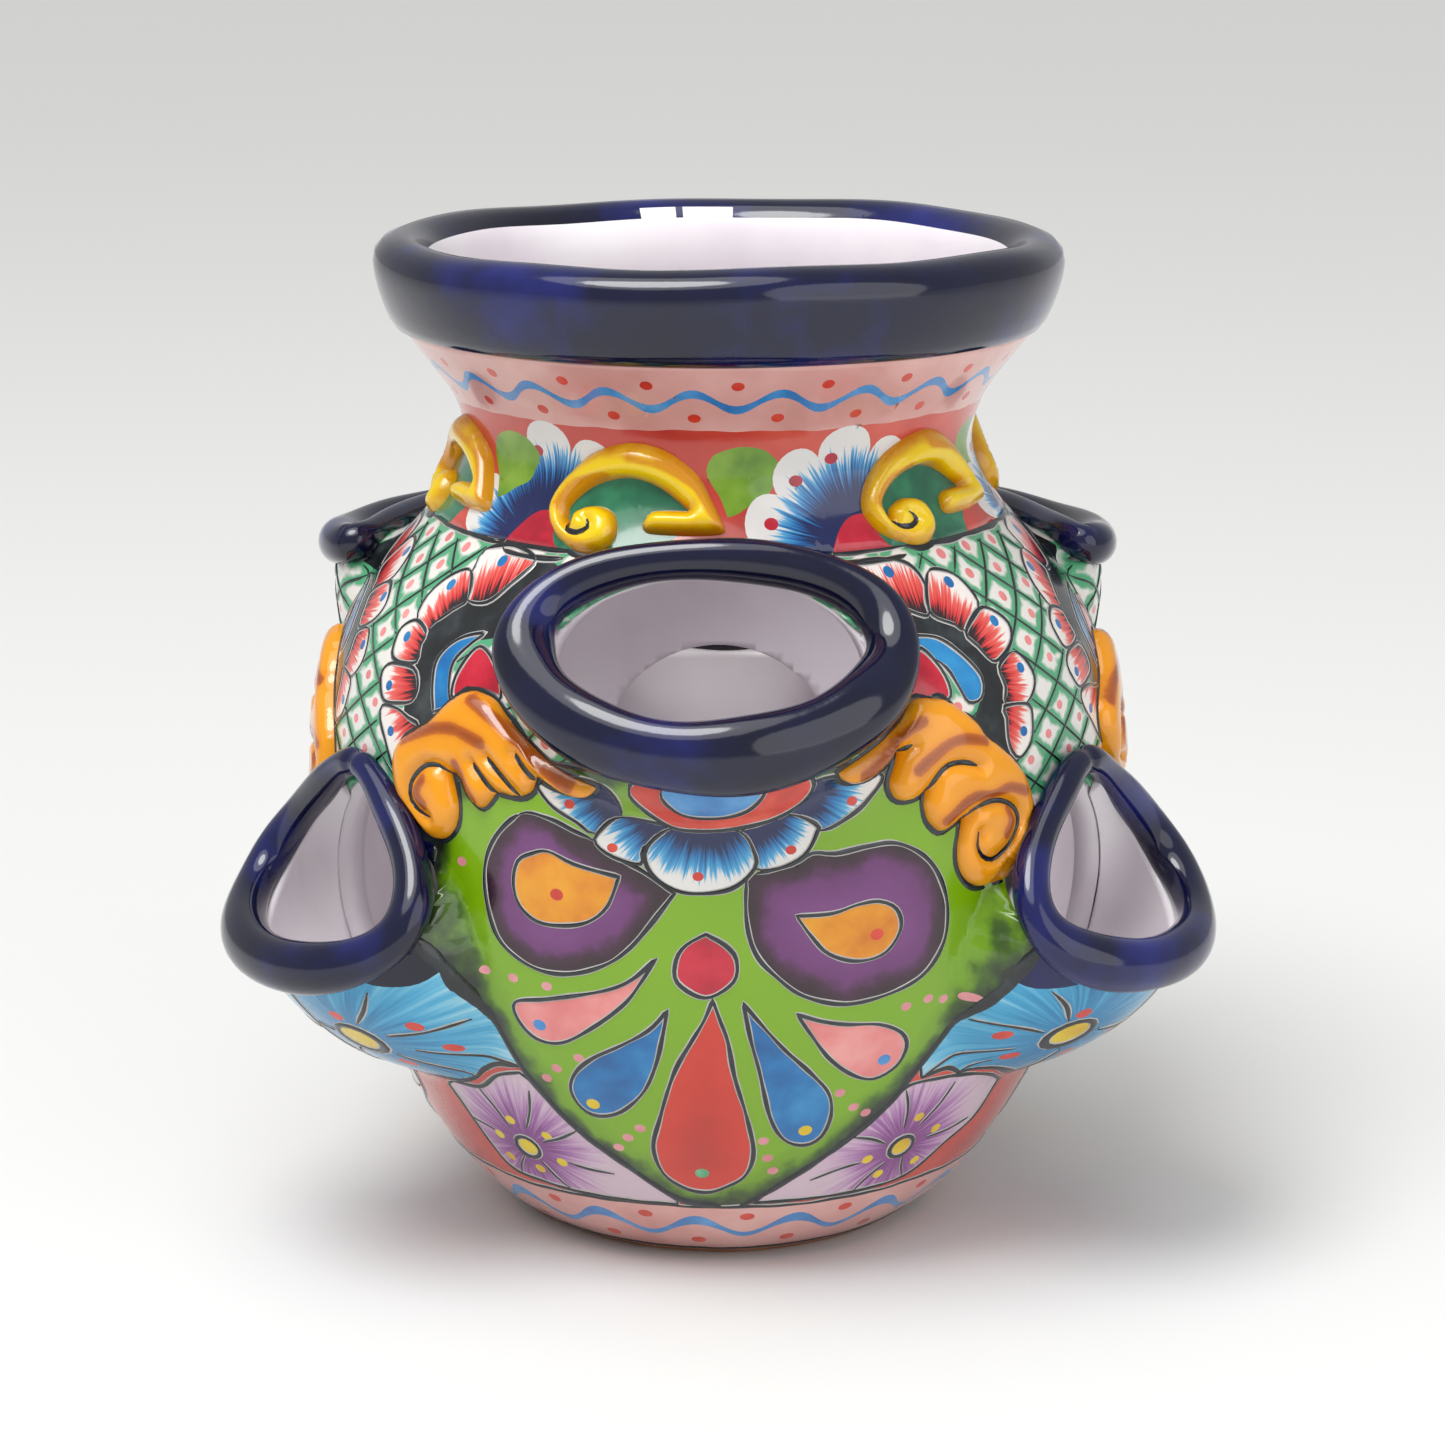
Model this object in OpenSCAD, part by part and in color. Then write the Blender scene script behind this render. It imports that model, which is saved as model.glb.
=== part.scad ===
// Six-pocket glazed earthenware planter: a round belly, a flared neck with a rolled rim, three upper
// and three lower planting pockets, each with a rolled lip, and modelled scrolls on neck and shoulder.
// Millimetres, +Z up, origin at the centre of the foot, front pocket towards -Y.

/* [Pot] */
// Height from the foot to the top of the rim
pot_height = 305; // [290:1:320]
// Wall thickness of belly and neck
wall = 8; // [6:0.5:9]
// Thickness of the base slab
base_thickness = 9; // [8:0.5:12]
// Radius of the drain hole
drain_radius = 6; // [4:0.5:9]
// Height of the joint between belly and neck
neck_joint = 221; // [219:1:224]
// Height of the joint between neck and rim roll
rim_joint = 277; // [275:1:280]

/* [Rim] */
// Outer radius of the rim roll at its widest
rim_radius = 104.5; // [103:0.5:106]
// Height of the widest line of the rim roll
rim_widest = 293; // [290:1:294]
// Inner radius of the rim roll
rim_inner_radius = 84; // [82:0.5:86]

/* [Pockets] */
// Half thickness of the upper pockets' rolled lips
upper_lip = 7.5; // [6:0.25:8]
// Half thickness of the lower pockets' rolled lips
lower_lip = 6; // [5:0.25:6.5]
// How much thinner a lip is where it runs along the wall
lip_taper = 0.35; // [0.2:0.05:0.4]
// Wall thickness of the pocket cups
cup_wall = 6; // [5:0.5:7]

/* [Relief] */
// Height of the yellow neck scrolls above the neck
scroll_height = 4; // [2:0.5:5]
// Height of the orange curls above the shoulder
curl_height = 3.5; // [2:0.5:5]

/* [Hidden] */

$fn = 96;

cobalt = "#14184a";
coral = "#e0604a";
pale_pink = "#d8a8a0";
sky_blue = "#3a9ac8";
scroll_yellow = "#e0b000";
curl_orange = "#d88a08";

// Outer radius of the pot at each height, as thrown: [height, radius]
OUTLINE = [[0, 60], [8, 71.5], [20, 83], [38, 95], [60, 106], [90, 116.5], [120, 121.5], [145, 122],
    [165, 120], [185, 114.5], [200, 106], [212, 96], [223, 86], [234, 79.5], [244, 77], [257, 80.5],
    [270, 90], [281, 98.5]];
last = len(OUTLINE) - 1;
outline_step = 8;

// Each pocket: [direction, top of lip, bottom of lip, half width, stand-off, throw of the mouth,
// how late it throws, width of its head, bottom of the cup on the belly, half thickness of the lip,
// how far round the lip its cup begins].
// They are set by hand, so no two sit quite alike.
upper_front = [-1.5, 222, 176, 52, 6.5, 12.5, 1.5, 1.0, 152, upper_lip, 66];
upper_right = [120, 211, 204, 51, 6.5, 17, 1, 1.0, 166, upper_lip, 60];
upper_left = [-120, 211, 204, 51, 6.5, 17, 1, 1.0, 166, upper_lip, 60];
lower_right = [59, 156, 102, 55, 4, 34, 2, 0.38, 58, lower_lip, 36];
lower_left = [-57.5, 156, 102, 55, 4, 34, 2, 0.38, 58, lower_lip, 36];
lower_rear = [180, 157, 144, 48, 4, 34, 1.5, 0.8, 92, lower_lip, 36];
POCKETS = [upper_front, upper_right, upper_left, lower_right, lower_left, lower_rear];

least_height = 0.3;
cup_rings = 28;
hole_sides = 24;
lip_rings = 40;
lip_sides = 8;
hole_margin = 5;
root_margin = 2;

// One scroll of the neck band, from its inner curl over the arch to its outer curl, and one curl of
// the shoulder, from its spiral eye to its wing tip: [along, up, half width]
SCROLL = [[5, -5, 4.5], [14, -6, 5], [22, -1, 4.5], [18, 7, 5], [9, 12, 5.5], [-6, 12, 5.5],
    [-18, 5, 5.5], [-23, -5, 5.5], [-18, -12, 5.5], [-11, -9, 4.5]];
CURL = [[16, -11, 3.5], [14, -19, 4.5], [22, -22, 5.5], [29, -13, 6], [28, 1, 7], [18, 12, 7.5],
    [2, 17, 8], [-18, 11, 6.5], [-35, 2, 3]];
scroll_centre = 236;
curl_centre = 158;
curl_turn = 33;
scroll_turns = [-16.6, 50.6, 112, 172, 232, 288];
ribbon_steps = 3;
ribbon_sink = 0.1;

// Smooth outer radius at a height: cubic through the outline's points
function slope(i) = let (a = max(i - 1, 0), b = min(i + 1, last))
    (OUTLINE[b][1] - OUTLINE[a][1]) / (OUTLINE[b][0] - OUTLINE[a][0]);
function stretch_of(z, i = 0) = (i >= last - 1 || z < OUTLINE[i + 1][0]) ? i : stretch_of(z, i + 1);
function cubic(a, b, da, db, t) = (2*t^3 - 3*t^2 + 1) * a + (t^3 - 2*t^2 + t) * da
    + (3*t^2 - 2*t^3) * b + (t^3 - t^2) * db;
function pot_r(z) = let (i = stretch_of(z), h = OUTLINE[i + 1][0] - OUTLINE[i][0])
    cubic(OUTLINE[i][1], OUTLINE[i + 1][1], slope(i) * h, slope(i + 1) * h, (z - OUTLINE[i][0]) / h);

// A point on or above the pot's wall, at a bearing and height
function on_pot(bearing, z, above = 0) = let (r = pot_r(z) + above) [r*sin(bearing), -r*cos(bearing), z];

// A point in front of a pocket: across it, up, and out from the axis
function placed(bearing, across, out, z) =
    [out*sin(bearing) + across*cos(bearing), across*sin(bearing) - out*cos(bearing), z];
function on_wall(bearing, across, z, above = 0) =
    placed(bearing, across, sqrt(pot_r(z)^2 - across^2) + above, z);

function unit(v) = v / norm(v);
function drop(a) = (1 - cos(a)) / 2;
function head(p, c) = p[7] + (1 - p[7]) * c;

// The centre line of a pocket's lip, and the two lines where its cup meets the belly
function mouth(p, a) = let (c = drop(a))
    on_wall(p[0], p[3]*sin(a)*head(p, c), p[1] + (p[2] - p[1])*c, p[4] + p[5]*c^p[6]);
function hole_point(p, a) = let (c = drop(a), top = p[1] - 6, low = p[8] + 9)
    [(p[3] - hole_margin)*sin(a)*head(p, c), top + (low - top)*c];
function inner_root(p, a) = let (h = hole_point(p, a)) on_wall(p[0], h[0], h[1]);
function outer_root(p, a) = let (c = drop(a), top = p[1] + root_margin)
    on_wall(p[0], (p[3] + root_margin)*sin(a)*head(p, c), top + (p[8] - top)*c);

// Half thickness of a lip at an angle round its mouth
function lip_half(p, a) = p[9]*(1 - lip_taper*(1 - drop(a)));

// One closed slice of a cup's wall, from the belly up to the underside of the lip
function cup_slice(p, a) = let (
    m = mouth(p, a), ro = outer_root(p, a), ri = inner_root(p, a), u = unit(m - (ro + ri)/2),
    side = ro - ri, n = unit(side - (side*u)*u), foot = (ro + ri)/2,
    top = foot + (m - foot)*max(least_height, 1 - lip_half(p, a)*0.95/norm(m - foot)),
    ot = top + n*cup_wall/2, it = top - n*cup_wall/2, bulge = n*norm(ot - ro)*0.1)
    [ro, (ro + ot)/2 + bulge, ot, it, (ri + it)/2 + bulge, ri];

// One closed slice of a lip, round its centre line
function lip_slice(p, a) = let (
    m = mouth(p, a), along = unit(mouth(p, a + 2) - mouth(p, a - 2)),
    out = placed(p[0], 0, 1, 0), n = unit(cross(along, out)), b = cross(n, along))
    [for (k = [0 : lip_sides - 1]) m + lip_half(p, a)*(n*cos(k*360/lip_sides) + b*sin(k*360/lip_sides))];

// Quads between slices, and the caps of an open run
function skin(slices, sides, closed) = let (n = len(slices), runs = closed ? n : n - 1) [
    for (i = [0 : runs - 1], k = [0 : sides - 1])
        let (a = i*sides, b = ((i + 1) % n)*sides, l = (k + 1) % sides)
        each [[a + k, b + k, b + l], [a + k, b + l, a + l]]];
function fan(start, sides, flip) = [for (k = [1 : sides - 2])
    flip ? [start, start + k + 1, start + k] : [start, start + k, start + k + 1]];

module swept(slices, closed) {
    sides = len(slices[0]);
    caps = closed ? [] : concat(fan(0, sides, false), fan((len(slices) - 1)*sides, sides, true));
    polyhedron([for (s = slices) each s], concat(skin(slices, sides, closed), caps));
}

// A stretch of the pot's wall between two heights
module wall_ring(low, high, thickness) {
    steps = ceil((high - low) / outline_step);
    heights = [for (i = [0 : steps]) low + (high - low)*i/steps];
    rotate_extrude()
        polygon(concat([for (z = heights) [pot_r(z), z]],
            [for (i = [steps : -1 : 0]) [pot_r(heights[i]) - thickness, heights[i]]]));
}

module pocket_hole(p) {
    reach = 90;
    rotate([0, 0, p[0]])
        translate([0, -50, 0])
            rotate([90, 0, 0])
                linear_extrude(reach)
                    polygon([for (i = [0 : hole_sides - 1]) hole_point(p, i*360/hole_sides)]);
}

module base_slab() {
    color(cobalt)
        rotate_extrude()
            polygon([[drain_radius, 0], [pot_r(0), 0], [pot_r(4), 4], [pot_r(base_thickness), base_thickness],
                [drain_radius, base_thickness]]);
}

module belly_shell() {
    color(coral)
        difference() {
            wall_ring(base_thickness, neck_joint, wall);
            for (p = POCKETS) pocket_hole(p);
        }
}

module neck_collar() {
    color(pale_pink) wall_ring(neck_joint, rim_joint, wall);
}

// The thick roll: flared below, rounded over the top, leaning in to the mouth of the pot
module rim_roll() {
    roll = (pot_height - rim_widest);
    crown = 95.5;
    inner_edge = pot_r(rim_joint) - wall;
    color(cobalt)
        rotate_extrude()
            polygon(concat([[inner_edge, rim_joint], [pot_r(rim_joint), rim_joint], [100, 282], [103.4, 287]],
                [for (a = [0 : 15 : 90]) [crown + (rim_radius - crown)*cos(a), rim_widest + roll*sin(a)]],
                [for (a = [105 : 15 : 180])
                    [crown + (crown - rim_inner_radius)*cos(a), rim_widest + roll*sin(a)]]));
}

module cup(p) {
    color(sky_blue)
        swept([for (i = [0 : cup_rings]) cup_slice(p, p[10] + (360 - 2*p[10])*i/cup_rings)], false);
}

module lip(p) {
    color(cobalt) swept([for (i = [0 : lip_rings - 1]) lip_slice(p, i*360/lip_rings)], true);
}

// A low rounded ribbon modelled on the wall along a hand-drawn path; side is 1 or -1 for its mirror
function spline(points, i, t) = let (n = len(points) - 1, a = points[max(i - 1, 0)], b = points[i],
    c = points[i + 1], d = points[min(i + 2, n)])
    cubic(b, c, (c - a)/2, (d - b)/2, t);
function path_of(points) = concat([for (i = [0 : len(points) - 2], k = [0 : ribbon_steps - 1])
    spline(points, i, k/ribbon_steps)], [points[len(points) - 1]]);
function at_along(bearing, along, z, above) =
    on_pot(bearing + along / pot_r(z) * 180/PI, z, above);
function ribbon_slice(path, i, bearing, centre, height, side) = let (
    n = len(path) - 1, q = path[i], d = path[min(i + 1, n)] - path[max(i - 1, 0)],
    across = unit([-d[1], d[0]]), flow = [-0.98, -0.7, 0, 0.7, 0.98, 0], lift = [0, 0.75, 1, 0.75, 0, 0])
    [for (k = [0 : 5]) at_along(bearing, side*(q[0] + across[0]*q[2]*flow[k]),
        centre + q[1] + across[1]*q[2]*flow[k], height*lift[k] - ribbon_sink)];

module ribbon(points, bearing, centre, height, side) {
    path = path_of(points);
    slices = [for (i = [0 : len(path) - 1]) ribbon_slice(path, i, bearing, centre, height, side)];
    swept(side > 0 ? slices : [for (s = slices) [for (k = [5 : -1 : 0]) s[k]]], false);
}

module neck_scroll(number) {
    color(scroll_yellow) ribbon(SCROLL, scroll_turns[number - 1], scroll_centre, scroll_height, 1);
}

module curl(bearing, side) {
    color(curl_orange) ribbon(CURL, bearing + side*curl_turn, curl_centre, curl_height, side);
}

base_slab();
belly_shell();
neck_collar();
rim_roll();
cup(upper_front);  // upper_front_cup
cup(upper_right);  // upper_right_cup
cup(upper_left);  // upper_left_cup
cup(lower_right);  // lower_right_cup
cup(lower_left);  // lower_left_cup
cup(lower_rear);  // lower_rear_cup
lip(upper_front);  // upper_front_lip
lip(upper_right);  // upper_right_lip
lip(upper_left);  // upper_left_lip
lip(lower_right);  // lower_right_lip
lip(lower_left);  // lower_left_lip
lip(lower_rear);  // lower_rear_lip
neck_scroll(1);  // neck_scroll_1
neck_scroll(2);  // neck_scroll_2
neck_scroll(3);  // neck_scroll_3
neck_scroll(4);  // neck_scroll_4
neck_scroll(5);  // neck_scroll_5
neck_scroll(6);  // neck_scroll_6
curl(upper_front[0], -1);  // curl_front_left
curl(upper_front[0], 1);  // curl_front_right
curl(upper_right[0], -1);  // curl_right_left
curl(upper_right[0], 1);  // curl_right_right
curl(upper_left[0], -1);  // curl_left_left
curl(upper_left[0], 1);  // curl_left_right
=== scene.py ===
"""Glazed earthenware strawberry planter: thrown clay bodies, rolled lips, modelled scrolls and painted glaze."""

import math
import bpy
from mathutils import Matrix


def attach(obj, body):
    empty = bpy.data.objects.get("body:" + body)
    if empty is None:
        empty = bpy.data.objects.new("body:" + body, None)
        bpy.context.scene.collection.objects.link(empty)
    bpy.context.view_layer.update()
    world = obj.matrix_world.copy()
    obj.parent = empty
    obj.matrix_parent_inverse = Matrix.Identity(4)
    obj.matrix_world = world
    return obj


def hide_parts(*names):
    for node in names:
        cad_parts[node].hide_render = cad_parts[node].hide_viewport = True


bl_info = {
    "name": "Painted Strawberry Planter",
    "version": (1, 0, 0),
    "blender": (4, 5, 0),
    "location": "View3D > Sidebar > Planter",
    "description": "Builds a six-pocket painted earthenware planter round its fixed frame",
    "category": "Object",
}

import bpy
import numpy as np
from mathutils import Vector
from mathutils.bvhtree import BVHTree
from mathutils.geometry import delaunay_2d_cdt

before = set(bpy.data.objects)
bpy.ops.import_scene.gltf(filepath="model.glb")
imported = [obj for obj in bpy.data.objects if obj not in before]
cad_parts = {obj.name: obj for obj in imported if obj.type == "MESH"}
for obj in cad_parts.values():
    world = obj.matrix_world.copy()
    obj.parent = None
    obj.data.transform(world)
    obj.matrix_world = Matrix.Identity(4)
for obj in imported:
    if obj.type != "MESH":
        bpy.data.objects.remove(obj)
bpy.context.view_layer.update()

MM = 0.001
DEGREE = math.pi / 180

# ---------------------------------------------------------------------------------------------
# The pot's shape, in millimetres: bearings in degrees round the axis from -Y, heights from the foot
# ---------------------------------------------------------------------------------------------

OUTLINE = np.array(
    [
        [0, 60], [8, 71.5], [20, 83], [38, 95], [60, 106], [90, 116.5], [120, 121.5], [145, 122], [165, 120],
        [185, 114.5], [200, 106], [212, 96], [223, 86], [234, 79.5], [244, 77], [257, 80.5], [270, 90],
        [281, 98.5],
    ],
    float,
)
OUTLINE_TOP = 280.9
NECK_JOINT, RIM_JOINT = 221.0, 277.0
BASE = 9.0  # thickness of the floor slab
WALL, CUP_WALL = 8.0, 6.0
COAT_INSET = 0.45  # how far the clay stands back from the painted skin
LIP_TAPER = 0.35


class Pocket:
    """One planting pocket: its direction, mouth, cup and lip."""

    def __init__(self, name, bearing, top, bottom, half_width, stand_off, throw, late, head, cup_foot, lip, start):
        self.name, self.bearing, self.top, self.bottom = name, bearing, top, bottom
        self.half_width, self.stand_off, self.throw, self.late = half_width, stand_off, throw, late
        self.head, self.cup_foot, self.lip, self.start = head, cup_foot, lip, start


POCKETS = [
    Pocket("upper_front", -1.5, 222, 176, 52, 6.5, 12.5, 1.5, 1.0, 152, 7.5, 66),
    Pocket("upper_right", 120, 211, 204, 51, 6.5, 17, 1, 1.0, 166, 7.5, 60),
    Pocket("upper_left", -120, 211, 204, 51, 6.5, 17, 1, 1.0, 166, 7.5, 60),
    Pocket("lower_right", 59, 156, 102, 55, 4, 34, 2, 0.38, 58, 6, 36),
    Pocket("lower_left", -57.5, 156, 102, 55, 4, 34, 2, 0.38, 58, 6, 36),
    Pocket("lower_rear", 180, 157, 144, 48, 4, 34, 1.5, 0.8, 92, 6, 36),
]
SHIFTS = [0.0, 121.5, -118.5]  # from the front sector to each of the three
SCROLL_TURNS = [-16.6, 50.6, 112.0, 172.0, 232.0, 288.0]
SCROLL_DRAWN_AT = -16.6  # the bearing of the scroll that the outline was drawn on


def pot_radius(z):
    """Outer radius of the thrown pot at a height: a smooth cubic through the outline's points."""
    z = np.clip(np.asarray(z, float), 0, OUTLINE_TOP)
    last = len(OUTLINE) - 1
    i = np.clip(np.searchsorted(OUTLINE[:, 0], z, side="right") - 1, 0, last - 1)

    def slope(k):
        a, b = np.maximum(k - 1, 0), np.minimum(k + 1, last)
        return (OUTLINE[b, 1] - OUTLINE[a, 1]) / (OUTLINE[b, 0] - OUTLINE[a, 0])

    h = OUTLINE[i + 1, 0] - OUTLINE[i, 0]
    t = (z - OUTLINE[i, 0]) / h
    return (
        (2 * t**3 - 3 * t**2 + 1) * OUTLINE[i, 1]
        + (t**3 - 2 * t**2 + t) * slope(i) * h
        + (3 * t**2 - 2 * t**3) * OUTLINE[i + 1, 1]
        + (t**3 - t**2) * slope(i + 1) * h
    )


def mm_per_degree(z):
    """How many millimetres of wall one degree of bearing spans at a height."""
    return float(pot_radius(z)) * DEGREE


def bearing_of(points):
    return np.degrees(np.arctan2(points[:, 0], -points[:, 1]))


def wrapped(turn):
    """A bearing, or a difference of bearings, brought between -180 and 180."""
    return (turn + 180) % 360 - 180


def hand_wave(bearing, z):
    """The small unevenness that a hand-thrown wall keeps, in millimetres."""
    b, z = np.asarray(bearing) * DEGREE, np.asarray(z)
    return (
        0.22 * np.sin(2 * b + 0.021 * z + 1.0)
        + 0.16 * np.sin(5 * b - 0.047 * z + 0.6)
        + 0.12 * np.sin(11 * b + 0.083 * z)
        + 0.07 * np.sin(0.31 * z + 3 * b)
    )


def placed(bearing, across, out, z):
    """Points in front of a pocket: across it, out from the axis, and up."""
    s, c = math.sin(bearing * DEGREE), math.cos(bearing * DEGREE)
    return np.stack([out * s + across * c, across * s - out * c, z + 0 * out], -1)


def on_wall(bearing, across, z, above=0.0):
    """Points on the thrown wall in front of a pocket, or so far outside it."""
    return placed(bearing, across, np.sqrt(np.maximum(pot_radius(z) ** 2 - across**2, 1)) + above, z)


def drop(a):
    """How far down a mouth an angle round it is: 0 at its top and 1 at its bottom."""
    return (1 - np.cos(a * DEGREE)) / 2


def head(p, c):
    """How wide a mouth is at a depth, where a lower pocket's comes to a point at the top."""
    return p.head + (1 - p.head) * c


def lip_half(p, a):
    """Half the thickness of a lip, thinner at the top of its mouth."""
    return p.lip * (1 - LIP_TAPER * (1 - drop(a)))


def mouth(p, a):
    """The centre line of a pocket's lip at angles round it from the top."""
    c = drop(a)
    return on_wall(
        p.bearing, p.half_width * np.sin(a * DEGREE) * head(p, c), p.top + (p.bottom - p.top) * c,
        p.stand_off + p.throw * c**p.late,
    )


def hole_point(p, a):
    """The opening that a pocket cuts in the belly: [across, height]."""
    c = drop(a)
    top, low = p.top - 6, p.cup_foot + 9
    return (p.half_width - 5) * np.sin(a * DEGREE) * head(p, c), top + (low - top) * c


def outer_root(p, a):
    """Where a cup's outer face meets the belly."""
    c = drop(a)
    top = p.top + 2
    return on_wall(p.bearing, (p.half_width + 2) * np.sin(a * DEGREE) * head(p, c), top + (p.cup_foot - top) * c)


def unit(v):
    return v / np.maximum(np.linalg.norm(v, axis=-1, keepdims=True), 1e-9)


def cup_edges(p, a):
    """Root and top of a cup's outer and inner faces at angles round its mouth, and how far they bulge."""
    m, outer = mouth(p, a), outer_root(p, a)
    across, z = hole_point(p, a)
    inner = on_wall(p.bearing, across, z)
    foot = (outer + inner) / 2
    u, side = unit(m - foot), outer - inner
    n = unit(side - np.sum(side * u, -1, keepdims=True) * u)
    reach = np.linalg.norm(m - foot, axis=-1)
    top = foot + (m - foot) * np.maximum(0.3, 1 - lip_half(p, a) * 0.95 / reach)[:, None]
    outer_top, inner_top = top + n * CUP_WALL / 2, top - n * CUP_WALL / 2
    bulge = n * np.linalg.norm(outer_top - outer, axis=-1, keepdims=True) * 0.1
    return outer, outer_top, inner, inner_top, bulge


def along_face(start, end, bulge, t):
    """Points of a bulging face between its root and its top, at shares t of the way."""
    t = np.asarray(t)
    t = (t if t.ndim == 2 else t[None])[..., None]
    return start[:, None] * (1 - t) + end[:, None] * t + 4 * bulge[:, None] * t * (1 - t)


# ---------------------------------------------------------------------------------------------
# The skin that the painter works on: the belly and neck with the cups luted on and smoothed over
# ---------------------------------------------------------------------------------------------

SKIN_TURN, SKIN_RISE = 0.75, 1.5  # the grid's step, in degrees and in millimetres
SKIN_TOP = 282
FILLET = 7.0  # how far the clay smoothed over a joint reaches
RAY_FROM, RAY_LENGTH = 230, 160


def find_skin():
    """Radius of the outer skin on a grid of bearings and heights."""
    turns = np.arange(-180, 180, SKIN_TURN)
    rises = np.arange(0, SKIN_TOP, SKIN_RISE)
    grid = pot_radius(rises)[None, :] + hand_wave(turns[:, None], rises[None, :])
    for p in POCKETS:
        a = np.linspace(p.start - 8, 368 - p.start, 97)
        outer, outer_top, _, _, bulge = cup_edges(p, a)
        tall = np.linalg.norm(outer_top - outer, axis=-1)[:, None]
        reach = np.repeat(np.linspace(-0.3, 1, 28)[None], len(a), 0)
        points = along_face(outer, outer_top, bulge, np.concatenate([reach, 1 + 2 / tall, 1 + 5 / tall], 1))
        rows, cols = points.shape[:2]
        quads = [
            (i * cols + j, (i + 1) * cols + j, (i + 1) * cols + j + 1, i * cols + j + 1)
            for i in range(rows - 1)
            for j in range(cols - 1)
        ]
        tree = BVHTree.FromPolygons(points.reshape(-1, 3).tolist(), quads)
        flat = points.reshape(-1, 3)
        wide = np.abs(wrapped(bearing_of(flat) - p.bearing)).max() + 1
        low, high = flat[:, 2].min() - 1, flat[:, 2].max() + 1
        for i, turn in enumerate(turns):
            if abs(wrapped(turn - p.bearing)) > wide:
                continue
            s, c = math.sin(turn * DEGREE), math.cos(turn * DEGREE)
            for j, z in enumerate(rises):
                if not low < z < high:
                    continue
                start = Vector((RAY_FROM * s, -RAY_FROM * c, z))
                hit = tree.ray_cast(start, Vector((-s, c, 0)), RAY_LENGTH)[0]
                if hit is not None:
                    near, far = grid[i, j], math.hypot(hit.x, hit.y)
                    gap = max(FILLET - abs(near - far), 0)
                    grid[i, j] = max(near, far) + gap * gap / (4 * FILLET)
    for _ in range(2):
        grid = (np.roll(grid, 1, 0) + 2 * grid + np.roll(grid, -1, 0)) / 4
        grid[:, 1:-1] = (grid[:, :-2] + 2 * grid[:, 1:-1] + grid[:, 2:]) / 4
    return grid


SKIN = find_skin()


def skin_radius(bearing, z):
    """Radius of the skin between the grid's points, by a smooth cubic both ways."""
    x = (np.asarray(bearing, float) + 180) % 360 / SKIN_TURN
    y = np.clip(np.asarray(z, float), 0.001, 279.9) / SKIN_RISE
    i, j = np.floor(x).astype(int), np.floor(y).astype(int)
    fx, fy = x - i, y - j

    def weights(f):
        return (
            -0.5 * f + f**2 - 0.5 * f**3, 1 - 2.5 * f**2 + 1.5 * f**3,
            0.5 * f + 2 * f**2 - 1.5 * f**3, -0.5 * f**2 + 0.5 * f**3,
        )

    wx, wy = weights(fx), weights(fy)
    total = np.zeros(np.broadcast(x, y).shape)
    for m in range(4):
        for n in range(4):
            column = (i + m - 1) % SKIN.shape[0]
            row = np.clip(j + n - 1, 0, SKIN.shape[1] - 1)
            total += wx[m] * wy[n] * SKIN[column, row]
    return total


def round_pot(bearing, z, radius):
    """Points at a radius round the pot's axis."""
    b = np.asarray(bearing) * DEGREE
    return np.stack([radius * np.sin(b), -radius * np.cos(b), z + 0 * radius], -1)


def on_skin(bearing, z, above=0.0):
    """Points on the skin, or so far above it along its normal, in millimetres."""
    bearing, z = np.asarray(bearing, float), np.asarray(z, float)

    def at(turn, rise):
        return round_pot(bearing + turn, z + rise, skin_radius(bearing + turn, z + rise))

    if np.isscalar(above) and above == 0:
        return at(0, 0)
    turn, rise = 0.8, 1.2
    normal = unit(np.cross(at(turn, 0) - at(-turn, 0), at(0, rise) - at(0, -rise)))
    return at(0, 0) + normal * np.asarray(above)[..., None]


# ---------------------------------------------------------------------------------------------
# Materials
# ---------------------------------------------------------------------------------------------


def linear(code):
    """An sRGB hex colour as linear RGBA."""
    parts = [int(code[i : i + 2], 16) / 255 for i in (1, 3, 5)]
    return tuple(c / 12.92 if c <= 0.04045 else ((c + 0.055) / 1.055) ** 2.4 for c in parts) + (1.0,)


def node(tree, kind, settings=None, **links):
    """Adds a node with its settings, socket values and links."""
    made = tree.nodes.new(kind)
    for key, value in (settings or {}).items():
        setattr(made, key, value)
    for key, value in links.items():
        numbered = key[0] == "i" and key[1:].isdigit()
        socket = made.inputs[int(key[1:]) if numbered else key.replace("_", " ")]
        if isinstance(value, bpy.types.NodeSocket):
            tree.links.new(value, socket)
        else:
            socket.default_value = value
    return made


def ramp(tree, factor, stops):
    """A colour that runs through the stops as the factor rises."""
    made = node(tree, "ShaderNodeValToRGB", None, i0=factor)
    elements = made.color_ramp.elements
    while len(elements) < len(stops):
        elements.new(0.5)
    for element, (at, code) in zip(elements, stops):
        element.position, element.color = at, linear(code)
    return made.outputs["Color"]


def place_on(tree):
    return tree.nodes.new("ShaderNodeTexCoord").outputs["Object"]


def brush_parts(tree):
    """The brush's coordinates: X across the hairs and Y along them."""
    uv = node(tree, "ShaderNodeUVMap", {"uv_map": "Brush"}).outputs["UV"]
    return node(tree, "ShaderNodeSeparateXYZ", None, Vector=uv).outputs


def wander(tree, noise, by):
    """A noise's middle range spread out to so much either way."""
    fac = noise.outputs["Fac"]
    return node(tree, "ShaderNodeMapRange", {"clamp": False}, i0=fac, i1=0.3, i2=0.7, i3=-by, i4=by).outputs[0]


def maths(tree, kind, a, b):
    return node(tree, "ShaderNodeMath", {"operation": kind}, i0=a, i1=b).outputs[0]


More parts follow.
